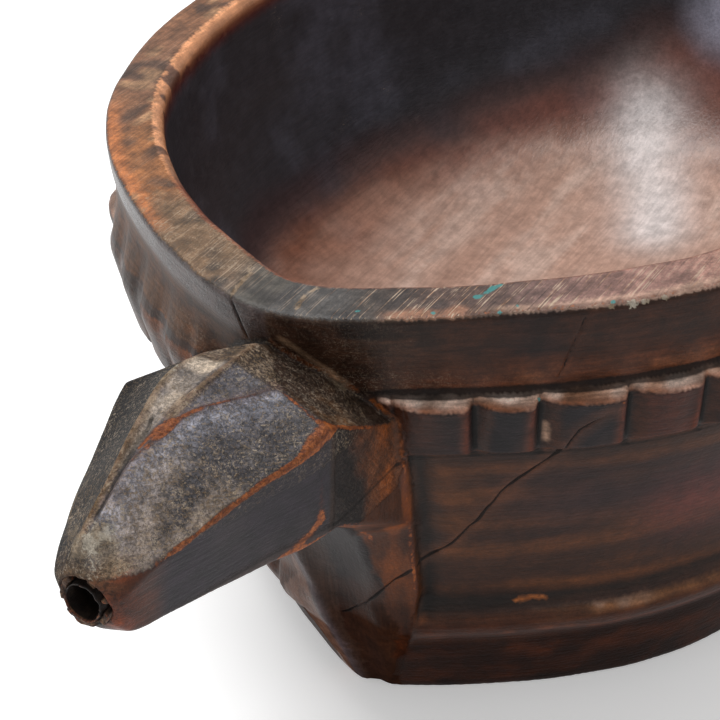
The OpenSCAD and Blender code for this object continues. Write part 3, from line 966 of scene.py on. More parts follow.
    # the notched band
    for side, (top, bot, low, cuts) in enumerate(BAND):
        kk = outer & (left if side else ~left) & (s > 17.5)
        zz = z + np.interp(s, S_GRID, low)
        kk &= (zz < -15.6) & (zz > -29.2)
        if not kk.any():
            continue
        i = np.clip(np.searchsorted(cuts, s, side="right") - 1, 0, len(cuts) - 2)
        u, w = s - cuts[i], (cuts[np.minimum(i + 1, len(cuts) - 1)] - cuts[i])
        u = np.where(s < cuts[0], 5.0, u)
        hue = np.random.default_rng(40 + side).random(len(cuts) + 1)[i]
        k = kk.astype(float)
        ledge = k * step(n[:, 2] + 0.06 * fine, 0.2, 0.72)
        face = k - ledge
        end = np.exp(-((u - w + 1.5) / 0.55) ** 2)
        if side == 0:
            L.mix("2e2826", face)
            L.mix("1f2026", face * step(0.7 * hue + 0.5 * mid + 0.35, 0.45, 0.9))
            L.mix("4e2f1f", face * step(0.95 - hue + 0.5 * mid, 0.5, 0.95) * 0.75)
            L.mix("3f2c1b", face * (1 - step(u / w + 0.05 * fine, 0.16, 0.3)) * 0.8)
            L.mix("46301f", face * (1 - step(s, 19, 34)) * 0.85)
            L.mix("6b3c20", face * end * 0.7)
            L.add("wear", face * end * 0.22 + face * np.exp(-((zz + 17.8) / 0.5) ** 2) * 0.3)
            # painted highlight: a light grey-brown band near the right end of each tongue
            L.mix("6f5f55", face * np.exp(-((u - w + 2.1) / 0.7) ** 2) * step(hue, 0.45, 0.5) * 0.35)
            L.tint((0.86, 0.64, 0.6), face)
            L.mix("6a3d22", face * np.exp(-((zz + 27.6) / 0.35) ** 2) * 0.6)
        else:
            L.mix("553c2a", face)
            L.mix("2a221f", face * step(mid + 0.5 * fine, 0.0, 0.8) * 0.9)
            L.mix("83562f", face * step(-mid + 0.5 * along, 0.1, 0.7) * 0.75)
            # painted highlight: grey at the right end of each tongue on the left side
            L.mix("77706c", face * end * 0.5)
            L.add("tan", face * 0.15)
            L.tint((0.85, 0.76, 0.74), face)
        ledge = ledge * (0.4 if side else 1.0)
        lens = np.clip(np.sin(math.pi * np.clip(u / np.maximum(w, 1), 0, 1)), 0, 1)
        # painted light: the up-facing ledges get a lighter tan ground, and the pinkish-tan and whitish lenses on them
        # are painted highlights
        L.mix("8d664e", ledge)
        L.mix("b98f77", ledge * lens ** 0.6 * step(fine + mid * 0.5 + along2 * 0.6, -0.7, 0.4) * 0.95)
        L.mix("e6d0c2", ledge * lens ** 0.7 * step(fine - mid * 0.3 + along2 * 0.4, -0.6, 0.35) * 0.85)
        L.mix("8a4a26", ledge * np.exp(-((zz + 16.9) / 0.35) ** 2) * 0.7)
        L.put("rough", 0.4, ledge)
        L.put("rough", 0.36, face)
        L.put("rough", 0.6, face * np.exp(-((u - w + 1.8) / 1.2) ** 2))
        # painted shade with grime: near-black in the valleys at both ends of each tongue
        v = np.exp(-((u - 0.1) / 0.7) ** 2) + np.exp(-((u - w + 0.25) / 0.6) ** 2)
        L.mix("171210", face * v * 0.75)
        L.add("grime_and_shade", (face + 0.5 * ledge) * v * 0.3)
        L.add("grime_and_shade", ledge * np.exp(-((zz + 15.7) / 0.35) ** 2) * 0.6)

    # panels, strips and foot
    k = (outer & (z < -28.6)).astype(float)
    e = np.interp(z, *STRIP_EDGE)
    L.mix("3e281b", k)
    L.mix("643f22", k * step(along + 0.3 * mid, -0.1, 0.8) * 0.7)
    L.mix("23191a", k * step(-along + 0.4 * along2, 0.0, 0.7) * 0.5)
    L.mix("27222a", k * np.exp(-((z + 42 + 2 * mid) / 7) ** 2) * step(s - e, 8, 30) * (0.6 + 0.25 * along))
    L.mix("5c3a20", k * step(-z + 2 * mid, 56, 62) * (1 - step(-z, 62, 66)) * step(s - e, 4, 12) * step(along2 + mid, -0.3, 0.8) * 0.55)
    L.mix("5f3d20", k * (1 - step(s - e, 3.0, 18)) * step(fine + mid, -0.5, 0.8) * 0.6)
    # painted sheen: a purple-red cast on the belly of the right panel
    L.mix("6a3a36", k * step(s + 3 * along, 58, 76) * np.exp(-((z + 49) / 8) ** 2) * 0.65 * (1 - 0.85 * step(s + 4 * mid, 85, 115)) * (1 - 0.5 * lf))
    # painted shadow: a dark brown band just under the band's lower edge
    L.mix("2a1c14", k * np.exp(-((z + 30.5) / 1.6) ** 2) * 0.7)
    # painted shade with dirt: near-black in the recess beside the proud strip, low down
    L.mix("15100d", k * np.exp(-((s - e - 2.2) / 1.7) ** 2) * step(z, -76, -68) * 0.92)
    L.mix("120e0c", k * np.exp(-((z + 67.4 - 0.5 * mid - 0.4 * along) / (0.8 + 1.4 * (1 - step(s - e, 12, 36)))) ** 2) * step(s - e, 0.5, 3) * 0.85)
    L.mix("6b4322", k * np.exp(-((z + 64.6 - 0.8 * along) / 1.6) ** 2) * step(s - e, 10, 26) * step(along2 + 0.6 * mid, -0.7, 0.4) * 0.6)
    # painted shade with dirt: near-black along the proud strip's edge, higher up
    L.mix("120e0c", k * (1 - step(s - e, 5, 14)) * step(s - e, 0.3, 2) * np.exp(-((z + 63) / 6.5) ** 2) * step(mid + fine, -0.6, 0.5) * 0.85)
    lip = k * step(-z, 69.0, 71.0) * (1 - step(-z + 0.6 * mid, 76.0, 77.2)) * step(s - e, 0.3, 2)
    L.mix("4a2b18", lip)
    L.mix("8a5229", lip * step(along + 0.6 * fine, -0.3, 0.6) * 0.8)
    # painted highlights: orange-tan and whitish streaks along the lip's up-facing top
    L.mix("a2764c", lip * step(s - e, 16, 40) * np.exp(-((z + 70.6) / 1.3) ** 2) * step(along2 + 0.4 * fine, -0.5, 0.6) * 0.7)
    L.mix("b5a596", lip * step(along2 + 0.4 * fine, 0.35, 0.85) * np.exp(-((z + 70.4) / 1.1) ** 2) * step(s - e, 12, 24) * 0.7)
    L.mix("62301b", k * np.exp(-((z + 76.4 - 0.9 * mid) / 0.8) ** 2) * step(s - e, 0.3, 2) * step(along2 + mid, -0.6, 0.5) * 0.7)
    L.mix("2c1b12", k * step(-z + 0.7 * mid, 77.4, 79.5) * 0.92)
    L.mix("5e3519", k * step(-z + mid, 78, 82) * step(mid + 0.8 * fine + 0.5 * along, -0.4, 1.2) * 0.6)
    L.mix("1c1514", k * step(-z + mid, 84, 90) * step(along2 + 0.5 * mid, 0.0, 0.8) * 0.6)
    # painted shadow: a thin dark line at the band's lower step
    L.add("grime_and_shade", k * np.exp(-((z + 29.2) / 0.6) ** 2) * 0.6)
    L.put("rough", 0.38, k)
    L.put("detail", 0.65, k)
    strip = k * (1 - step(s, e - 0.3, e + 0.6)) * (1 - lf * 0.25)
    L.mix("4c2c15", strip)
    L.mix("9a571f", strip * step(noise(p, (3.0, 3.0, 18), 38) + 0.3 * mid, -0.1, 0.7) * (0.85 - 0.5 * step(-z + 3 * mid, 48, 60)))
    L.mix("2c1b12", strip * step(noise(p, (2.4, 2.4, 20), 39), 0.2, 0.8) * 0.8)
    L.mix("331d11", strip * step(-z + 3 * mid, 60, 72) * 0.6)
    zz_ = np.c_[p[:, 2], p[:, 0], p[:, 1]]
    ks = (strip > 0.5) | ((y < 16) & outer & (z < -16) & (np.abs(x) > 13) & (y > -8) & (s < e + 0.5))
    L.grain[ks] = zz_[ks]
    L.add("wear", strip * np.exp(-((s - e + 0.5) / 0.8) ** 2) * 0.5 * step(z, -70, -60) * 0.8)
    L.mix("5a3216", strip * step(-z, 72, 78) * (0.45 + 0.3 * mid))
    L.put("gloss", 0.35, np.clip(strip + k * step(-z, 76, 79) * 0.22, 0, 1) * step(-z, 70, 77))
    L.put("rough", 0.5, strip * step(-z, 70, 77))

    # the prow's flat face under the spout
    fv, xr, hw = prow_face(x, y, z)
    vf = (outer & (np.abs(fv) < 1.1) & (np.abs(x) < hw + 4) & (z < -31.5) & (y > -20)).astype(float)
    # painted shadow: the spout's shadow on the face, as a near-black ground, darkened further high up beside the left
    # ridge by the tint below
    L.mix("241f20", vf)
    L.mix("3d2b20", vf * step(x, 3, 8) * step(-z, 56, 66) * 0.8)
    L.mix("3a2c26", vf * step(mid + along, 0.1, 0.9) * 0.6)
    L.mix("7c5c4a", vf * (1 - step(x - xr, -1.6, -0.6)))
    L.tint((0.62, 0.55, 0.55), vf * step(z, -54, -46) * step(x - xr, 0, 3))
    # painted highlight: blue-grey along the face's left ridge
    L.mix("7c7c8a", vf * np.exp(-((x - xr) / 0.9) ** 2) * 0.55)
    L.put("rough", 0.3, vf)
    foot = vf * step(-z, 60, 76) * step(x - xr, 0, 2)
    L.mix("38200f", foot * (0.7 + 0.3 * mid))
    L.put("gloss", 0.4, foot)
    L.add("tan", vf * (1 - step(x - xr, -1.6, -0.6)) * 0.12)
    L.mix("4a3c33", (outer & left & (s < e) & (z < -40)).astype(float) * 0.5)

    # the spout
    hd = (outer & (SPOUT_AT(q) > -1.3) & (y < 14) & (z > -33.5) & (np.abs(x) < 20) & (d < 2.2)).astype(float) * (1 - vf)
    neck = hd * step(y, -10.2, -9.2)
    col = lambda j: SPOUT[1:, j]
    at = lambda c, i: np.interp(-y, -c[:, 1][np.argsort(-c[:, 1])], c[:, i][np.argsort(-c[:, 1])])
    et = np.array(EDGE_TOP)
    xt, zl, xa = at(et, 0), at(np.array(EDGE_LOW), 2), at(col(7), 0)
    back = np.interp(x, [-20, 2.6, 3.8, 7.6, 12.2, 18.2], [-8, -2.0, -4.5, -8.9, -10.0, -10.8])
    front = hd * step(back - y, -0.3, 0.3)
    L.mix("332923", hd)
    r3 = front * ((z < zl - 0.2) & (x > 0)) * (n[:, 2] > -0.75)
    r2 = front * ((z >= zl - 0.2) & (x > xt))
    r1 = front * ((x <= xt) & (x > xa) & (n[:, 2] > 0.3))
    lt = front * ((x <= xa) & (n[:, 2] > -0.2))
    L.mix("231f25", r3)
    L.mix("2c2829", r3 * step(mid, 0, 0.8) * 0.6)
    L.mix("4a2c1c", r3 * step(-y + 3 * mid, 37, 42) * 0.85)
    L.mix("40362f", front * step(-z, 27.5, 30.5) * 0.7)
    # painted sheen: the grey-blue ground of the up-facing facet R2 stands in for its reflection; the light blue-grey
    # along its top edge is a painted highlight
    L.mix("3f3c3f", r2)
    L.mix("5f5a58", r2 * step(0.3 * mid + 0.8 * fine, 0.0, 0.9) * 0.5)
    L.mix("938479", r2 * step(-y + 2.5 * mid, 25, 33) * step(1.2 * fine + 0.6 * mid + 1.2, 0.0, 1.6) * 0.9)
    L.mix("93939e", r2 * np.exp(-(np.clip(x - xt, 0, 9) / 3.6) ** 2) * 0.75)
    L.mix("555257", r1)
    L.mix("c9b6a0", r1 * step(-x, 0.4, 1.8) * np.clip(0.6 + 0.5 * fine, 0, 1))
    L.mix("120f10", lt)
    L.add("tan", lt * (0.12 + 0.16 * step(-y, 28, 40)) + r1 * 0.2 + r2 * (0.17 + 0.13 * step(-y + 2 * mid, 22, 30)))
    L.put("rough", 0.46, r2 + r1)
    L.put("rough", 0.36, r3)
    L.put("rough", 0.6, lt)
    L.put("crinkle", 1.0, np.clip(r2 + 0.8 * r1, 0, 1))
    L.put("crinkle", 0.7, lt)
    sd = (lt > 0.5) | (r1 > 0.5)
    L.grain[sd] = np.c_[p[:, 1], p[:, 0] * 0.8 + p[:, 2] * 0.6, p[:, 2]][sd]
    tl = (r2 > 0.5)
    L.grain[tl] = np.c_[p[:, 1] * 0.7 + p[:, 0] * 0.9, p[:, 1] * 0.6 - p[:, 0] * 0.5, p[:, 2]][tl]
    # the neck: dark, fibrous, with a dusty line in its crease
    L.mix("30221a", neck * (n[:, 2] > 0.35))
    L.mix("5a3c22", neck * (n[:, 2] > 0.35) * step(mid + 0.8 * fine, 0.0, 0.9) * 0.7)
    side_n = neck * (n[:, 2] <= 0.35) * (x > 0)
    L.mix("221e1d", side_n)
    L.mix("6a4224", side_n * step(y + 2.5 * mid + 1.5 * fine, -4.5, 1.5) * 0.85)
    L.mix("9a5820", side_n * step(y, -1, 6) * step(noise(p, (5, 5, 14), 41) + 0.5 * fine, -0.2, 0.6) * 0.8)
    L.add("tan", neck * (0.1 + 0.06 * (n[:, 2] > 0.35)))
    L.put("rough", 0.48, neck)
    L.put("crinkle", 0.6, neck)
    nk = side_n > 0.5
    L.grain[nk] = np.c_[p[:, 2] * 0.8 - p[:, 1] * 0.55, p[:, 2] * 0.55 + p[:, 1] * 0.8, p[:, 0]][nk]
    nt = (neck > 0.5) & (n[:, 2] > 0.35)
    L.grain[nt] = np.c_[p[:, 0] * 0.8 - p[:, 2] * 0.6, p[:, 1], p[:, 2]][nt]
    L.add("grime_and_shade", stroke(p, [(9.5, 4.4, -12.0), (14.5, 7.0, -15.4), (19, 9.5, -16)], 1.8) * 0.6)
    L.mix("a58f72", stroke(p, [(2.5, -0.2, -4.9), (4.8, 0.4, -6.3), (7.4, 1.5, -8.8), (9.3, 2.8, -10.8), (11.4, 4.0, -13.2)], 1.0) * (0.8 + 0.6 * fine))

    # worn edges and other marks
    sharp = step(e1, 0.05, 0.15)
    broken = np.clip(0.78 + 0.4 * mid + 0.55 * fine, 0.2, 1.25)
    L.add("wear", hd * sharp * 0.25)
    L.add("wear", k * sharp * 0.2)
    L.add("wear", stroke(p, EDGE_LOW, [2.6, 2.0, 1.0, 1.2, 0.9, 1.2, 0.8, 1.1, 1.3]) * broken)
    L.add("wear", stroke(p, [(18.0, -11.0, -9.9), (17.6, -13.8, -11.0)], 2.2) * 0.6)
    L.add("wear", (stroke(p, EDGE_BACK[3:], 0.6) * 0.8 + stroke(p, [(18.0, -9.0, -10.6), (18.3, -5.4, -13.2), (18.2, 0.7, -17.1)], 0.5) * 0.7) * broken)
    L.add("wear", (stroke(p, EDGE_TOP[:5], 0.55) * 0.6 + stroke(p, EDGE_TOP[3:8], 0.9) * 0.75 + stroke(p, EDGE_TOP[6:], 0.5) * 0.5) * broken)
    L.mix("5a3f3c", stroke(p, EDGE_TOP, 1.6) * 0.5)
    L.add("wear", stroke(p, [(0.6, -25.6, -4.6), (-0.2, -28.5, -4.8), (-0.5, -32.5, -5.3)], [1.2, 1.9, 0.9]) * (0.8 + 0.3 * fine))
    L.add("wear", (stroke(p, UNDER_R, 0.9) * 0.7 + stroke(p, [(16.2, -12.5, -26.5), (15.2, -14.6, -29.0), (13.8, -18.5, -30.8)], 2.0) * 0.85) * broken)
    L.add("wear", stroke(p, [(15.3, -12.5, -30.8), (14.0, -2, -36), (9.8, 6.5, -43), (10.4, 9.8, -49)], 1.3) * 0.8 * broken)
    L.add("wear", stroke(p, [(16.8, -12.4, -12.0), (16.4, -12.4, -27)], 1.2) * 0.55)
    L.put("tan", 0.62, stroke(p, RIDGE_A[:], 1.1) * 1.5 * step(-y, 12, 16))
    L.put("tan", 0.6, stroke(p, RIDGE_B, [0.6, 0.7, 0.9, 1.3, 1.6]) * 1.5)
    L.mix("6a4a30", (stroke(p, RIDGE_A, 1.2) + stroke(p, RIDGE_B, [0.7, 0.8, 1.0, 1.4, 1.7])) * 0.9)
    L.add("chalk", stroke(p, [(-6.6, -14, -4.0), (-6.4, -17, -3.7), (-6.0, -20.5, -3.6)], 1.5) * 0.75)
    L.add("grime_and_shade", stroke(p, GROOVE_A, 0.8) * 0.5)
    tip = np.sqrt(((p - MOUTH) ** 2).sum(1))
    tp = (1 - step(tip + 1.3 * fine, 5.5, 9.5)) * hd
    L.mix("241711", tp * 0.9)
    wt = (1 - step(tip + 1.0 * fine, 7.5, 11.5)) * hd * step(x, 1.0, 4.0) * (1 - step(z, -15.5, -12.5))
    L.mix("45220f", wt * 0.9)
    L.mix("74391a", wt * step(fine + 0.5 * mid, -0.1, 0.7) * 0.7)
    L.mix("5c452d", tp * step(z, -20.5, -17) * step(fine, -0.3, 0.5) * 0.7)
    cr = stroke(p, [(-1.5, -46.9, -13.0), (1.8, -46.8, -13.2), (3.2, -45.6, -12.7)], 5.0) * hd
    L.mix("8a7860", step(cr + 0.7 * fine, 0.4, 0.8) * step(cr, 0.0, 0.2) * 0.65)
    L.add("chalk", cr * 0.4)
    L.add("grime_and_shade", cr * step(noise(p, 1.5, 45), 0.1, 0.6) * 0.5)
    L.put("rough", 0.6, tp)
    L.put("crinkle", 1.0, tp * 0.8)
    L.add("chalk", tp * step(z, -20.5, -14) * 0.3 + stroke(p, [(1.2, -44.5, -10.8), (0.8, -45.9, -12.4)], 2.4) * 0.7)
    L.add("grime_and_shade", tp * step(-fine, 0.35, 0.8) * 0.5)
    L.mix("b06c34", stroke(p, [(28.8, 26.8, -67.9), (30.6, 28.0, -67.3), (32.9, 29.8, -67.6)], 0.5) * 1.2)
    L.mix("a8927c", stroke(p, [(38.4, 20.0, -22.2), (38.2, 20.6, -25.4)], 0.95) * 1.1)
    L.add("green", stroke(p, [(28.1, 17.7, 0), (28.9, 20.2, 0), (29.5, 23.0, 0)], 1.3) * (0.95 + 0.8 * noise(p, 1.2, 48)))
    for a in ((33.2, 15.4, 0), (34.8, 18.0, 0), (13.5, 6.0, 0), (24.2, 10.7, 0), (47.2, 25.8, 0), (38.1, 18.8, -16.7), (-2.2, -47.5, -16.0), (1.6, -46.5, -14.2)):
        L.add("green", stroke(p, [a], 0.9) * 0.9)
    for a, w_ in (((47.2, 25.0, -0.3), 1.2), ((49.9, 27.0, -0.4), 1.5), ((51.4, 28.4, -0.3), 1.2), ((53.6, 30.6, -0.3), 1.1)):
        L.add("chalk", stroke(p, [a], w_) * 1.0)
    L.put("tan", 1.0, stroke(p, [(4.5, 2.6, 0), (3.6, 6.1, 0)], 0.7) + stroke(p, [(3.8, 7.5, 0), (4.3, 9.0, 0)], 0.6))
    for i, (line, w_, _) in enumerate(CRACKS):
        e, t = crack_dist(i, p, d, s)
        c = np.clip(1 - e / (1.7 * w_ + 0.12), 0, 1) * step(t, 0, 0.05) * (1 - step(t, 0.95, 1.0)) * outer * (0.8 + 0.5 * fine)
        L.add("grime_and_shade", c * (1.5, 1.3, 0.8, 1.3)[i] * (0.8 + 0.5 * fine))
        L.mix("6a4630", np.clip(1 - e / 2.6, 0, 1) * 0.4 * (i == 0) * outer)
        L.put("tan", 0.8, np.clip(1 - e / 0.7, 0, 1) * 1.3 * (1 - outer) * (i == 1))
    L.add("grime_and_shade", step(-e1, 0.09, 0.25) * 0.55 * outer * (1 - 0.75 * step(-z, 60, 65) * step(s - e, 12, 30)))
    top = np.clip(r1 + r2 + 0.8 * lt + 0.3 * tp, 0, 1)
    steep = outer * (1 - step(n[:, 2], 0.15, 0.7)) * (1 - top)
    low = outer * step(-z, 66, 78) * (1 - vf)
    # painted shade: outer faces that turn sideways or down are darkened and made less glossy; the foot zone is also
    # darker towards the bottom
    L.tint((0.7, 0.57, 0.54), steep * (1 - 0.5 * r3))
    L.tint((0.72, 0.62, 0.6), low)
    L.gloss = np.clip(L.gloss - 0.45 * steep * (1 - 0.4 * r3) - 0.35 * low - 0.65 * lt, 0, 1)
    L.tint((1.0, 0.92, 1.0), r3)
    L.tint((0.55, 0.5, 0.55), lt * step(y, -36, -24))
    L.col *= np.where(inside, 1.0, 1.06)[:, None]
    return L


def set_attributes(me, L):
    def colour(name, a):
        at_ = me.attributes.new(name, "FLOAT_COLOR", "POINT")
        at_.data.foreach_set("color", np.c_[a, np.ones(len(a))].astype(np.float32).ravel())
    clip = lambda *c: np.clip(np.stack(c, 1), 0, 1.5)
    colour("tone", L.col)
    colour("k1", clip(L.wear, L.tan, L.grime_and_shade))
    colour("k2", clip(L.scratch, L.rough, L.crinkle))
    colour("k3", clip(L.chalk, L.green, L.detail))
    g = me.attributes.new("grain", "FLOAT_VECTOR", "POINT")
    g.data.foreach_set("vector", L.grain.astype(np.float32).ravel())
    g = me.attributes.new("gloss", "FLOAT", "POINT")
    g.data.foreach_set("value", L.gloss.astype(np.float32))


LOOK = look_of(V, normals_of(V, T))
set_attributes(vessel.data, LOOK)
print("looks", round(time.time() - T0, 1), flush=True)


# ---------------------------------------------------------------- materials
class Tree:
    """A short way to write shader nodes."""

    def __init__(self, name):
        self.m = bpy.data.materials.new(name)
        self.m.use_nodes = True
        self.t = self.m.node_tree
        self.bsdf = self.t.nodes["Principled BSDF"]

    def node(self, kind, out=0, props=None, **ins):
        n = self.t.nodes.new(kind)
        for a, b in (props or {}).items():
            setattr(n, a, b)
        for a, b in ins.items():
            key = int(a[1:]) if a[0] == "i" and a[1:].isdigit() else a.replace("_", " ")
            self.to(b, n.inputs[key])
        return n.outputs[out]

    def to(self, val, sock):
        if isinstance(val, bpy.types.NodeSocket):
            self.t.links.new(val, sock)
        else:
            sock.default_value = val

    def math(self, op, a, b=0.0, clamp=False):
        return self.node("ShaderNodeMath", props={"operation": op, "use_clamp": clamp}, i0=a, i1=b)

    def add(self, a, b):
        return self.math("ADD", a, b)

    def mul(self, a, b):
        return self.math("MULTIPLY", a, b)

    def centre(self, a, k):
        """k times (a - 0.5)"""
        return self.node("ShaderNodeMath", props={"operation": "MULTIPLY_ADD"}, i0=a, i1=k, i2=-0.5 * k)

    def ramp(self, a, lo, hi, x=0.0, y=1.0):
        return self.node("ShaderNodeMapRange", props={"interpolation_type": "SMOOTHSTEP"}, Value=a, From_Min=lo, From_Max=hi, To_Min=x, To_Max=y)

    def noise(self, vec, scale, detail=2.0, rough=0.5, twist=0.0):
        return self.node("ShaderNodeTexNoise", Vector=self.scaled(vec, scale), Scale=1.0, Detail=detail, Roughness=rough, Distortion=twist)

    def scaled(self, vec, s):
        s = (s, s, s) if np.ndim(s) == 0 else s
        return self.node("ShaderNodeVectorMath", props={"operation": "MULTIPLY"}, i0=vec, i1=s)

    def mix(self, fac, a, b, kind="MIX"):
        n = self.t.nodes.new("ShaderNodeMix")
        n.data_type, n.blend_type, n.clamp_factor = "RGBA", kind, True
        for v, s in ((fac, n.inputs[0]), (a, n.inputs[6]), (b, n.inputs[7])):
            if isinstance(v, str):
                v = (*lin(v), 1.0)
            self.to(v, s)
        return n.outputs[2]

    def gain(self, colour, k):
        n = self.t.nodes.new("ShaderNodeVectorMath")
        n.operation = "SCALE"
        self.to(colour, n.inputs[0])
        self.to(k, n.inputs[3])
        return n.outputs[0]

    def attribute(self, name, out):
        return self.node("ShaderNodeAttribute", out=out, props={"attribute_name": name})

    def mm(self):
        return self.scaled(self.node("ShaderNodeTexCoord", out=3), 1000.0)

    def finish(self, colour, rough, height, depth, normal_strength=1.0):
        self.to(colour, self.bsdf.inputs["Base Color"])
        self.to(rough, self.bsdf.inputs["Roughness"])
        n = self.t.nodes.new("ShaderNodeBump")
        n.inputs["Strength"].default_value = normal_strength
        n.inputs["Distance"].default_value = depth
        self.to(height, n.inputs["Height"])
        self.t.links.new(n.outputs[0], self.bsdf.inputs["Normal"])
        return self.m


def patina_wood():
    w = Tree("carved_wood_patina")
    P = w.mm()
    G = w.attribute("grain", 1)
    tone = w.attribute("tone", 0)
    k = []
    for name in ("k1", "k2", "k3"):
        n = w.t.nodes.new("ShaderNodeSeparateColor")
        w.to(w.attribute(name, 0), n.inputs[0])
        k += list(n.outputs)[:3]
    wear, tan, grime_and_shade, scratch, rough, crinkle, chalk, green, detail = k
    fibre = w.noise(G, (0.16, 1.5, 1.5), 3.0, 0.55)
    hair = w.noise(G, (0.07, 3.6, 3.6), 2.0, 0.6)
    mottle = w.noise(P, 0.32, 4.0, 0.6)
    wrinkle = w.noise(P, 1.5, 3.0, 0.6, 0.7)
    grit = w.noise(P, 5.0, 2.0, 0.6)
    thread = w.noise(G, (0.3, 3.0, 3.0), 2.0, 0.6)
    fleck = w.noise(P, 2.2, 3.0, 0.65, 0.9)
    curl = w.ramp(w.math("ABSOLUTE", w.centre(w.noise(P, 0.95, 2.0, 0.55, 0.8), 1.0)), 0.008, 0.05, 1.0, 0.0)
    # ground: the tone, mottled and grained
    soft = lambda a: w.node("ShaderNodeMix", i0=detail, i2=1.0, i3=a)
    k1 = soft(w.ramp(mottle, 0.28, 0.72, 0.62, 1.38))
    k2 = soft(w.ramp(fibre, 0.3, 0.7, 0.78, 1.24))
    k3 = soft(w.ramp(grit, 0.3, 0.7, 0.86, 1.14))
    k4 = w.ramp(w.add(w.mul(wrinkle, 0.7), w.mul(fleck, 0.3)), 0.4, 0.62, 0.46, 1.65)
    k4 = w.node("ShaderNodeMix", i0=w.mul(crinkle, 0.85), i2=1.0, i3=k4)
    ground = w.gain(tone, w.mul(w.mul(w.mul(k1, k2), k3), k4))
    # pale fibres and dust
    t = w.add(w.add(tan, w.centre(thread, 1.0)), w.add(w.centre(mottle, 0.25), w.centre(fleck, 1.2)))
    tmask = w.mul(w.ramp(t, 0.38, 0.72), w.ramp(tan, 0.0, 0.08))
    c = w.mix(w.mul(tmask, 0.68), ground, w.gain(w.mix(w.ramp(mottle, 0.4, 0.6), "7a6246", "a8927a"), k3))
    curl = w.mul(w.mul(curl, w.ramp(tan, 0.05, 0.25)), w.mul(crinkle, w.ramp(fleck, 0.4, 0.56)))
    c = w.mix(w.mul(curl, 0.75), c, w.mix(w.ramp(mottle, 0.4, 0.6), "94806a", "b9a894"))
    # fine parallel scratches
    s = w.mul(w.ramp(w.add(hair, w.centre(mottle, 0.35)), 0.56, 0.66), scratch)
    c = w.mix(w.mul(s, 0.75), c, w.mix(w.ramp(mottle, 0.35, 0.6), "bd8a66", "cdb69e"))
    s2 = w.mul(w.ramp(w.noise(G, (0.05, 2.9, 2.9), 1.0), 0.36, 0.30), scratch)
    c = w.mix(w.mul(s2, 0.5), c, "241d1c")
    # bare wood on worn edges
    e = w.add(w.add(wear, w.centre(wrinkle, 0.55)), w.add(w.centre(fibre, 0.3), w.centre(grit, 0.2)))
    emask = w.mul(w.ramp(e, 0.42, 0.62), w.ramp(wear, 0.02, 0.2))
    c = w.mix(w.mul(w.ramp(e, 0.22, 0.5), w.mul(w.ramp(wear, 0.02, 0.2), 0.65)), c, "3d1a12")
    c = w.mix(w.mul(emask, 0.93), c, w.gain(w.mix(w.ramp(wrinkle, 0.35, 0.65), "6b3417", "9c5728"), k2))
    # pale crust, grime with painted shade in creases, grooves and under overhangs, and traces of old paint
    h = w.add(w.add(chalk, w.centre(wrinkle, 1.3)), w.centre(mottle, 0.5))
    hmask = w.mul(w.ramp(h, 0.42, 0.6), w.ramp(chalk, 0.02, 0.15))
    c = w.mix(w.mul(hmask, 0.8), c, w.gain(w.mix(w.ramp(mottle, 0.4, 0.6), "8f7d66", "b3aa9b"), k3))
    g = w.add(grime_and_shade, w.centre(wrinkle, 0.45))
    grime_shade_mask = w.mul(w.ramp(g, 0.3, 0.75), w.ramp(grime_and_shade, 0.02, 0.15))
    c = w.mix(w.mul(grime_shade_mask, 0.86), c, "0c0908")
    v = w.mul(w.ramp(w.add(green, w.centre(grit, 0.5)), 0.42, 0.55), w.ramp(green, 0.02, 0.15))
    c = w.mix(w.mul(v, 0.85), c, "3f8a88")
    r = w.add(w.add(rough, w.centre(mottle, 0.16)), w.add(w.mul(tmask, 0.16), w.add(w.mul(emask, 0.06), w.add(w.mul(hmask, 0.25), w.mul(grime_shade_mask, 0.25)))))
    r = w.add(r, w.centre(grit, 0.1))
    hgt = w.add(w.mul(w.centre(wrinkle, 1.1), crinkle), w.centre(fibre, 0.3))
    hgt = w.add(hgt, w.add(w.mul(w.centre(grit, 0.3), crinkle), w.add(w.mul(s, -0.2), w.add(w.mul(hmask, 0.3), w.add(w.mul(tmask, 0.12), w.mul(curl, 0.35))))))
    b = w.bsdf
    b.inputs["Coat Weight"].default_value = 0.03
    b.inputs["Coat Roughness"].default_value = 0.25
    b.inputs["Specular IOR Level"].default_value = 0.22
    w.to(w.mul(w.attribute("gloss", 2), 0.3), b.inputs["Specular IOR Level"])
    return w.finish(c, w.math("MAXIMUM", w.math("MINIMUM", r, 0.95), 0.16), w.add(hgt, 0.5), 0.00034)


def cane():
    w = Tree("sleeve_cane_fibre")
    P = w.mm()
    fib = w.noise(P, (2.6, 0.3, 2.6), 3.0, 0.6)
    mot = w.noise(P, 0.9, 3.0, 0.6)
    grit = w.noise(P, 6.0, 2.0)
    lip = w.ramp(w.node("ShaderNodeSeparateXYZ", out=1, Vector=P), -148.72, -148.25)
    c = w.mix(w.ramp(fib, 0.35, 0.65), "44241a", "7a452a")
    c = w.mix(w.ramp(mot, 0.54, 0.68), c, "9a7050")
    c = w.mix(w.ramp(mot, 0.46, 0.34), c, "2a1812")
    # painted shade: everything deeper than the tube's outer end is mixed to near-black, standing in for the dark of the
    # bore
    c = w.mix(w.mul(lip, 0.95), c, "0d0907")
    c = w.gain(c, w.ramp(grit, 0.3, 0.7, 0.8, 1.2))
    w.bsdf.inputs["Specular IOR Level"].default_value = 0.35
    return w.finish(c, w.ramp(mot, 0.3, 0.7, 0.5, 0.75), w.add(fib, w.mul(grit, 0.3)), 0.00015)


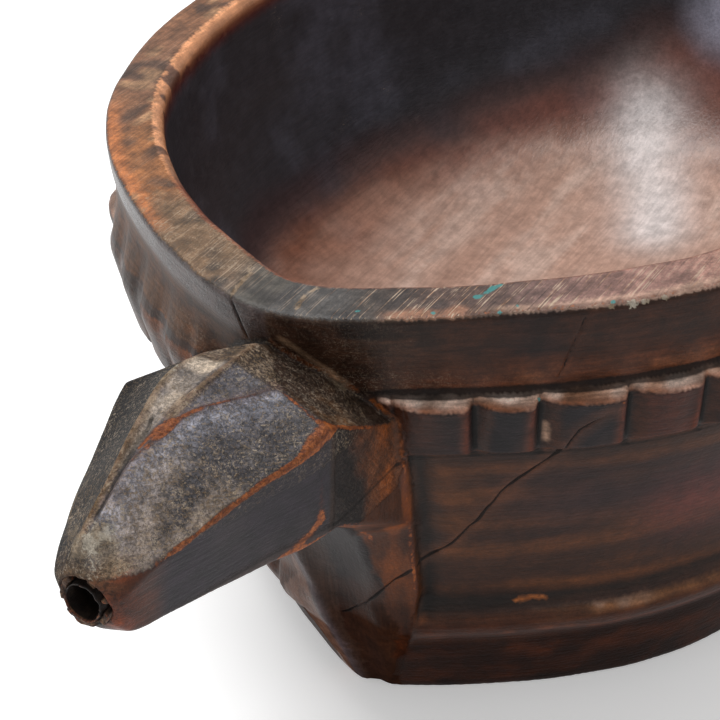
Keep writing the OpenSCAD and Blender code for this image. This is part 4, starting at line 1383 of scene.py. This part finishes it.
def crust():
    w = Tree("resin_bedding_crust")
    P = w.mm()
    lump = w.noise(P, 0.9, 4.0, 0.6, 0.5)
    grit = w.noise(P, 4.5, 3.0, 0.6)
    a = w.attribute("pit", 2)
    c = w.mix(w.ramp(lump, 0.35, 0.65), "2a1b14", "573c2a")
    c = w.mix(w.ramp(w.add(lump, w.centre(grit, 0.6)), 0.54, 0.7), c, "7a6048")
    c = w.mix(w.ramp(w.noise(P, 1.3, 2.0), 0.6, 0.7), c, "7a3f24")
    # painted shade: near-black in the pits and on the seat's deeper faces stands in for the dark of the gaps round the
    # tube
    c = w.mix(w.mul(a, 0.95), c, "080605")
    w.bsdf.inputs["Specular IOR Level"].default_value = 0.35
    return w.finish(c, w.ramp(grit, 0.3, 0.7, 0.55, 0.85), w.add(lump, w.mul(grit, 0.4)), 0.0003)


def ring(name, prof, n, shape):
    """A closed lathed ring on the channel's axis: prof is (radius, along); shape moves its points."""
    a = np.arange(n) * 2 * math.pi / n
    R = np.array([r for r, _ in prof])[:, None] + 0 * a
    A = np.array([v for _, v in prof])[:, None] + 0 * a
    th = a[None, :] + 0 * R
    R, A, extra = shape(R, A, th)
    v = MOUTH + A[..., None] * AXIS + R[..., None] * (np.cos(th)[..., None] * side_x + np.sin(th)[..., None] * -side_z)
    m = len(prof)
    i, j = np.meshgrid(np.arange(m), np.arange(n), indexing="ij")
    p00, p01 = i * n + j, i * n + (j + 1) % n
    p10, p11 = ((i + 1) % m) * n + j, ((i + 1) % m) * n + (j + 1) % n
    t = np.vstack([np.c_[p00.ravel(), p01.ravel(), p11.ravel()], np.c_[p00.ravel(), p11.ravel(), p10.ravel()]])
    v = v.reshape(-1, 3)
    vol = np.einsum("ij,ij->i", v[t[:, 0]] - MOUTH, np.cross(v[t[:, 1]] - MOUTH, v[t[:, 2]] - MOUTH)).sum()
    if vol < 0:
        t = t[:, ::-1]
    ob = mesh_object(name, v, t)
    if extra is not None:
        at_ = ob.data.attributes.new("pit", "FLOAT", "POINT")
        at_.data.foreach_set("value", extra.ravel().astype(np.float32))
    return ob


def ring_noise(R, A, th, scale, seed):
    return noise(np.c_[(R * np.cos(th)).ravel(), (R * np.sin(th)).ravel(), A.ravel()], scale, seed).reshape(R.shape)


def sleeve_shape(R, A, th):
    out = R > 3.2
    lip = step(A, -1.6, 0.6)
    R = R + np.where(out, -0.36, 0.12) * lip + 0.05 * ring_noise(R, A, th, 0.9, 51) * lip + 0.05 * ring_noise(R, A, th, 2.2, 52)
    A = A + lip * (0.3 * ring_noise(0 * R + 3.2, 0 * A, th, 1.1, 53) + 0.14 * ring_noise(0 * R + 3.2, 0 * A, th, 0.4, 54)) - 0.38 * lip
    return np.where(out, np.minimum(R, 3.5), np.maximum(R, 2.72)), A, None


def bedding_shape(R, A, th):
    top = step(A, -3.0, -0.2)
    deg = np.degrees(th)
    pit = np.zeros_like(R)
    for c, w_, dp in ((103, 26, 1.0), (40, 17, 0.9), (2, 14, 0.8), (205, 12, 0.5), (300, 16, 0.45)):
        g = np.abs((deg - c + 180) % 360 - 180)
        pit = np.maximum(pit, dp * (1 - step(g, w_ * 0.6, w_)))
    A = A + top * (0.16 * ring_noise(R, A, th, 1.0, 55) + 0.1 * ring_noise(R, A, th, 0.45, 56) - 0.05) - top * pit * 1.8
    # the third value marks where the crust is painted near-black as shade: the pits and the faces deeper than 0.9 mm
    return np.clip(R, 3.5, 4.4), A, np.clip(pit * top + (A < -0.9) * 0.8, 0, 1)


prof = [(2.9, a) for a in np.linspace(0.7, -13.3, 40)] + [(3.5, a) for a in np.linspace(-13.3, 0.7, 40)] + [(3.35, 0.74), (3.1, 0.76)]
sleeve = ring("sleeve_tube", prof, 96, sleeve_shape)
prof = [(3.5, a) for a in np.linspace(-0.02, -9.0, 26)] + [(4.4, a) for a in np.linspace(-9.0, -0.02, 26)] + [(r, 0.0) for r in (4.28, 4.15, 4.02, 3.9, 3.78, 3.66)]
bedding = ring("bedding_ring", prof, 144, bedding_shape)
for ob, node_, slot_, mat in ((vessel, "vessel", "carved_wood", patina_wood()), (sleeve, "spout_sleeve", "sleeve_cane", cane()), (bedding, "sleeve_bedding", "resin_bedding", crust())):
    ob.data.materials.clear()
    ob.data.materials.append(mat)
    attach(ob, "root")
    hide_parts(node_)


def pale_floor():
    w = Tree("pale_floor")
    n = w.noise(w.mm(), 0.02, 2.0)
    w.bsdf.inputs["Emission Color"].default_value = (1, 1, 1, 1)
    w.bsdf.inputs["Emission Strength"].default_value = 0.33
    return w.finish(w.mix(w.ramp(n, 0.3, 0.7), "f1f1f1", "f6f6f6"), w.ramp(n, 0.3, 0.7, 0.6, 0.66), n, 0.00002, 0.2)


# ---------------------------------------------------------------- stage, lights and camera
bpy.ops.mesh.primitive_plane_add(size=60, location=(0, 0, 0))
floor = bpy.context.object
floor.name = "floor"
floor.data.materials.append(pale_floor())
world = bpy.data.worlds.new("w")
bpy.context.scene.world = world
world.use_nodes = True
world.node_tree.nodes["Background"].inputs["Color"].default_value = (1, 1, 1, 1)
world.node_tree.nodes["Background"].inputs["Strength"].default_value = 0.52
bpy.context.scene.view_settings.view_transform = "Standard"


def area(name, loc, target, size, power):
    d = bpy.data.lights.new(name, "AREA")
    d.shape, d.size, d.size_y, d.energy = "RECTANGLE", size[0], size[1], power
    o = bpy.data.objects.new(name, d)
    bpy.context.scene.collection.objects.link(o)
    o.location = loc
    o.rotation_mode = "QUATERNION"
    o.rotation_quaternion = (Vector(target) - Vector(loc)).to_track_quat("-Z", "Y")
    return o


area("key", (-0.38, 0.06, 0.97), (0, 0.0, 0.05), (0.45, 0.8), 8.0)

cam_data = bpy.data.cameras.new("camera")
cam = bpy.data.objects.new("camera", cam_data)
bpy.context.scene.collection.objects.link(cam)
cam_data.lens, cam_data.sensor_width = 100.0, 36.0
cam_data.clip_start, cam_data.clip_end = 0.01, 20.0
R = Vector((0.831, 0.556, 0)).normalized()
cam.location = (0.158, -0.3086, 0.2594)
F = (Vector((0.02086, -0.1038, 0.095)) - cam.location).normalized()
R = (R - R.dot(F) * F).normalized()
U = R.cross(F).normalized()
c4, s4 = math.cos(math.radians(4)), math.sin(math.radians(4))
r4, u4 = c4 * R - s4 * U, s4 * R + c4 * U
cam.rotation_mode = "QUATERNION"
cam.rotation_quaternion = Matrix((r4, u4, -F)).transposed().to_quaternion()
bpy.context.scene.camera = cam
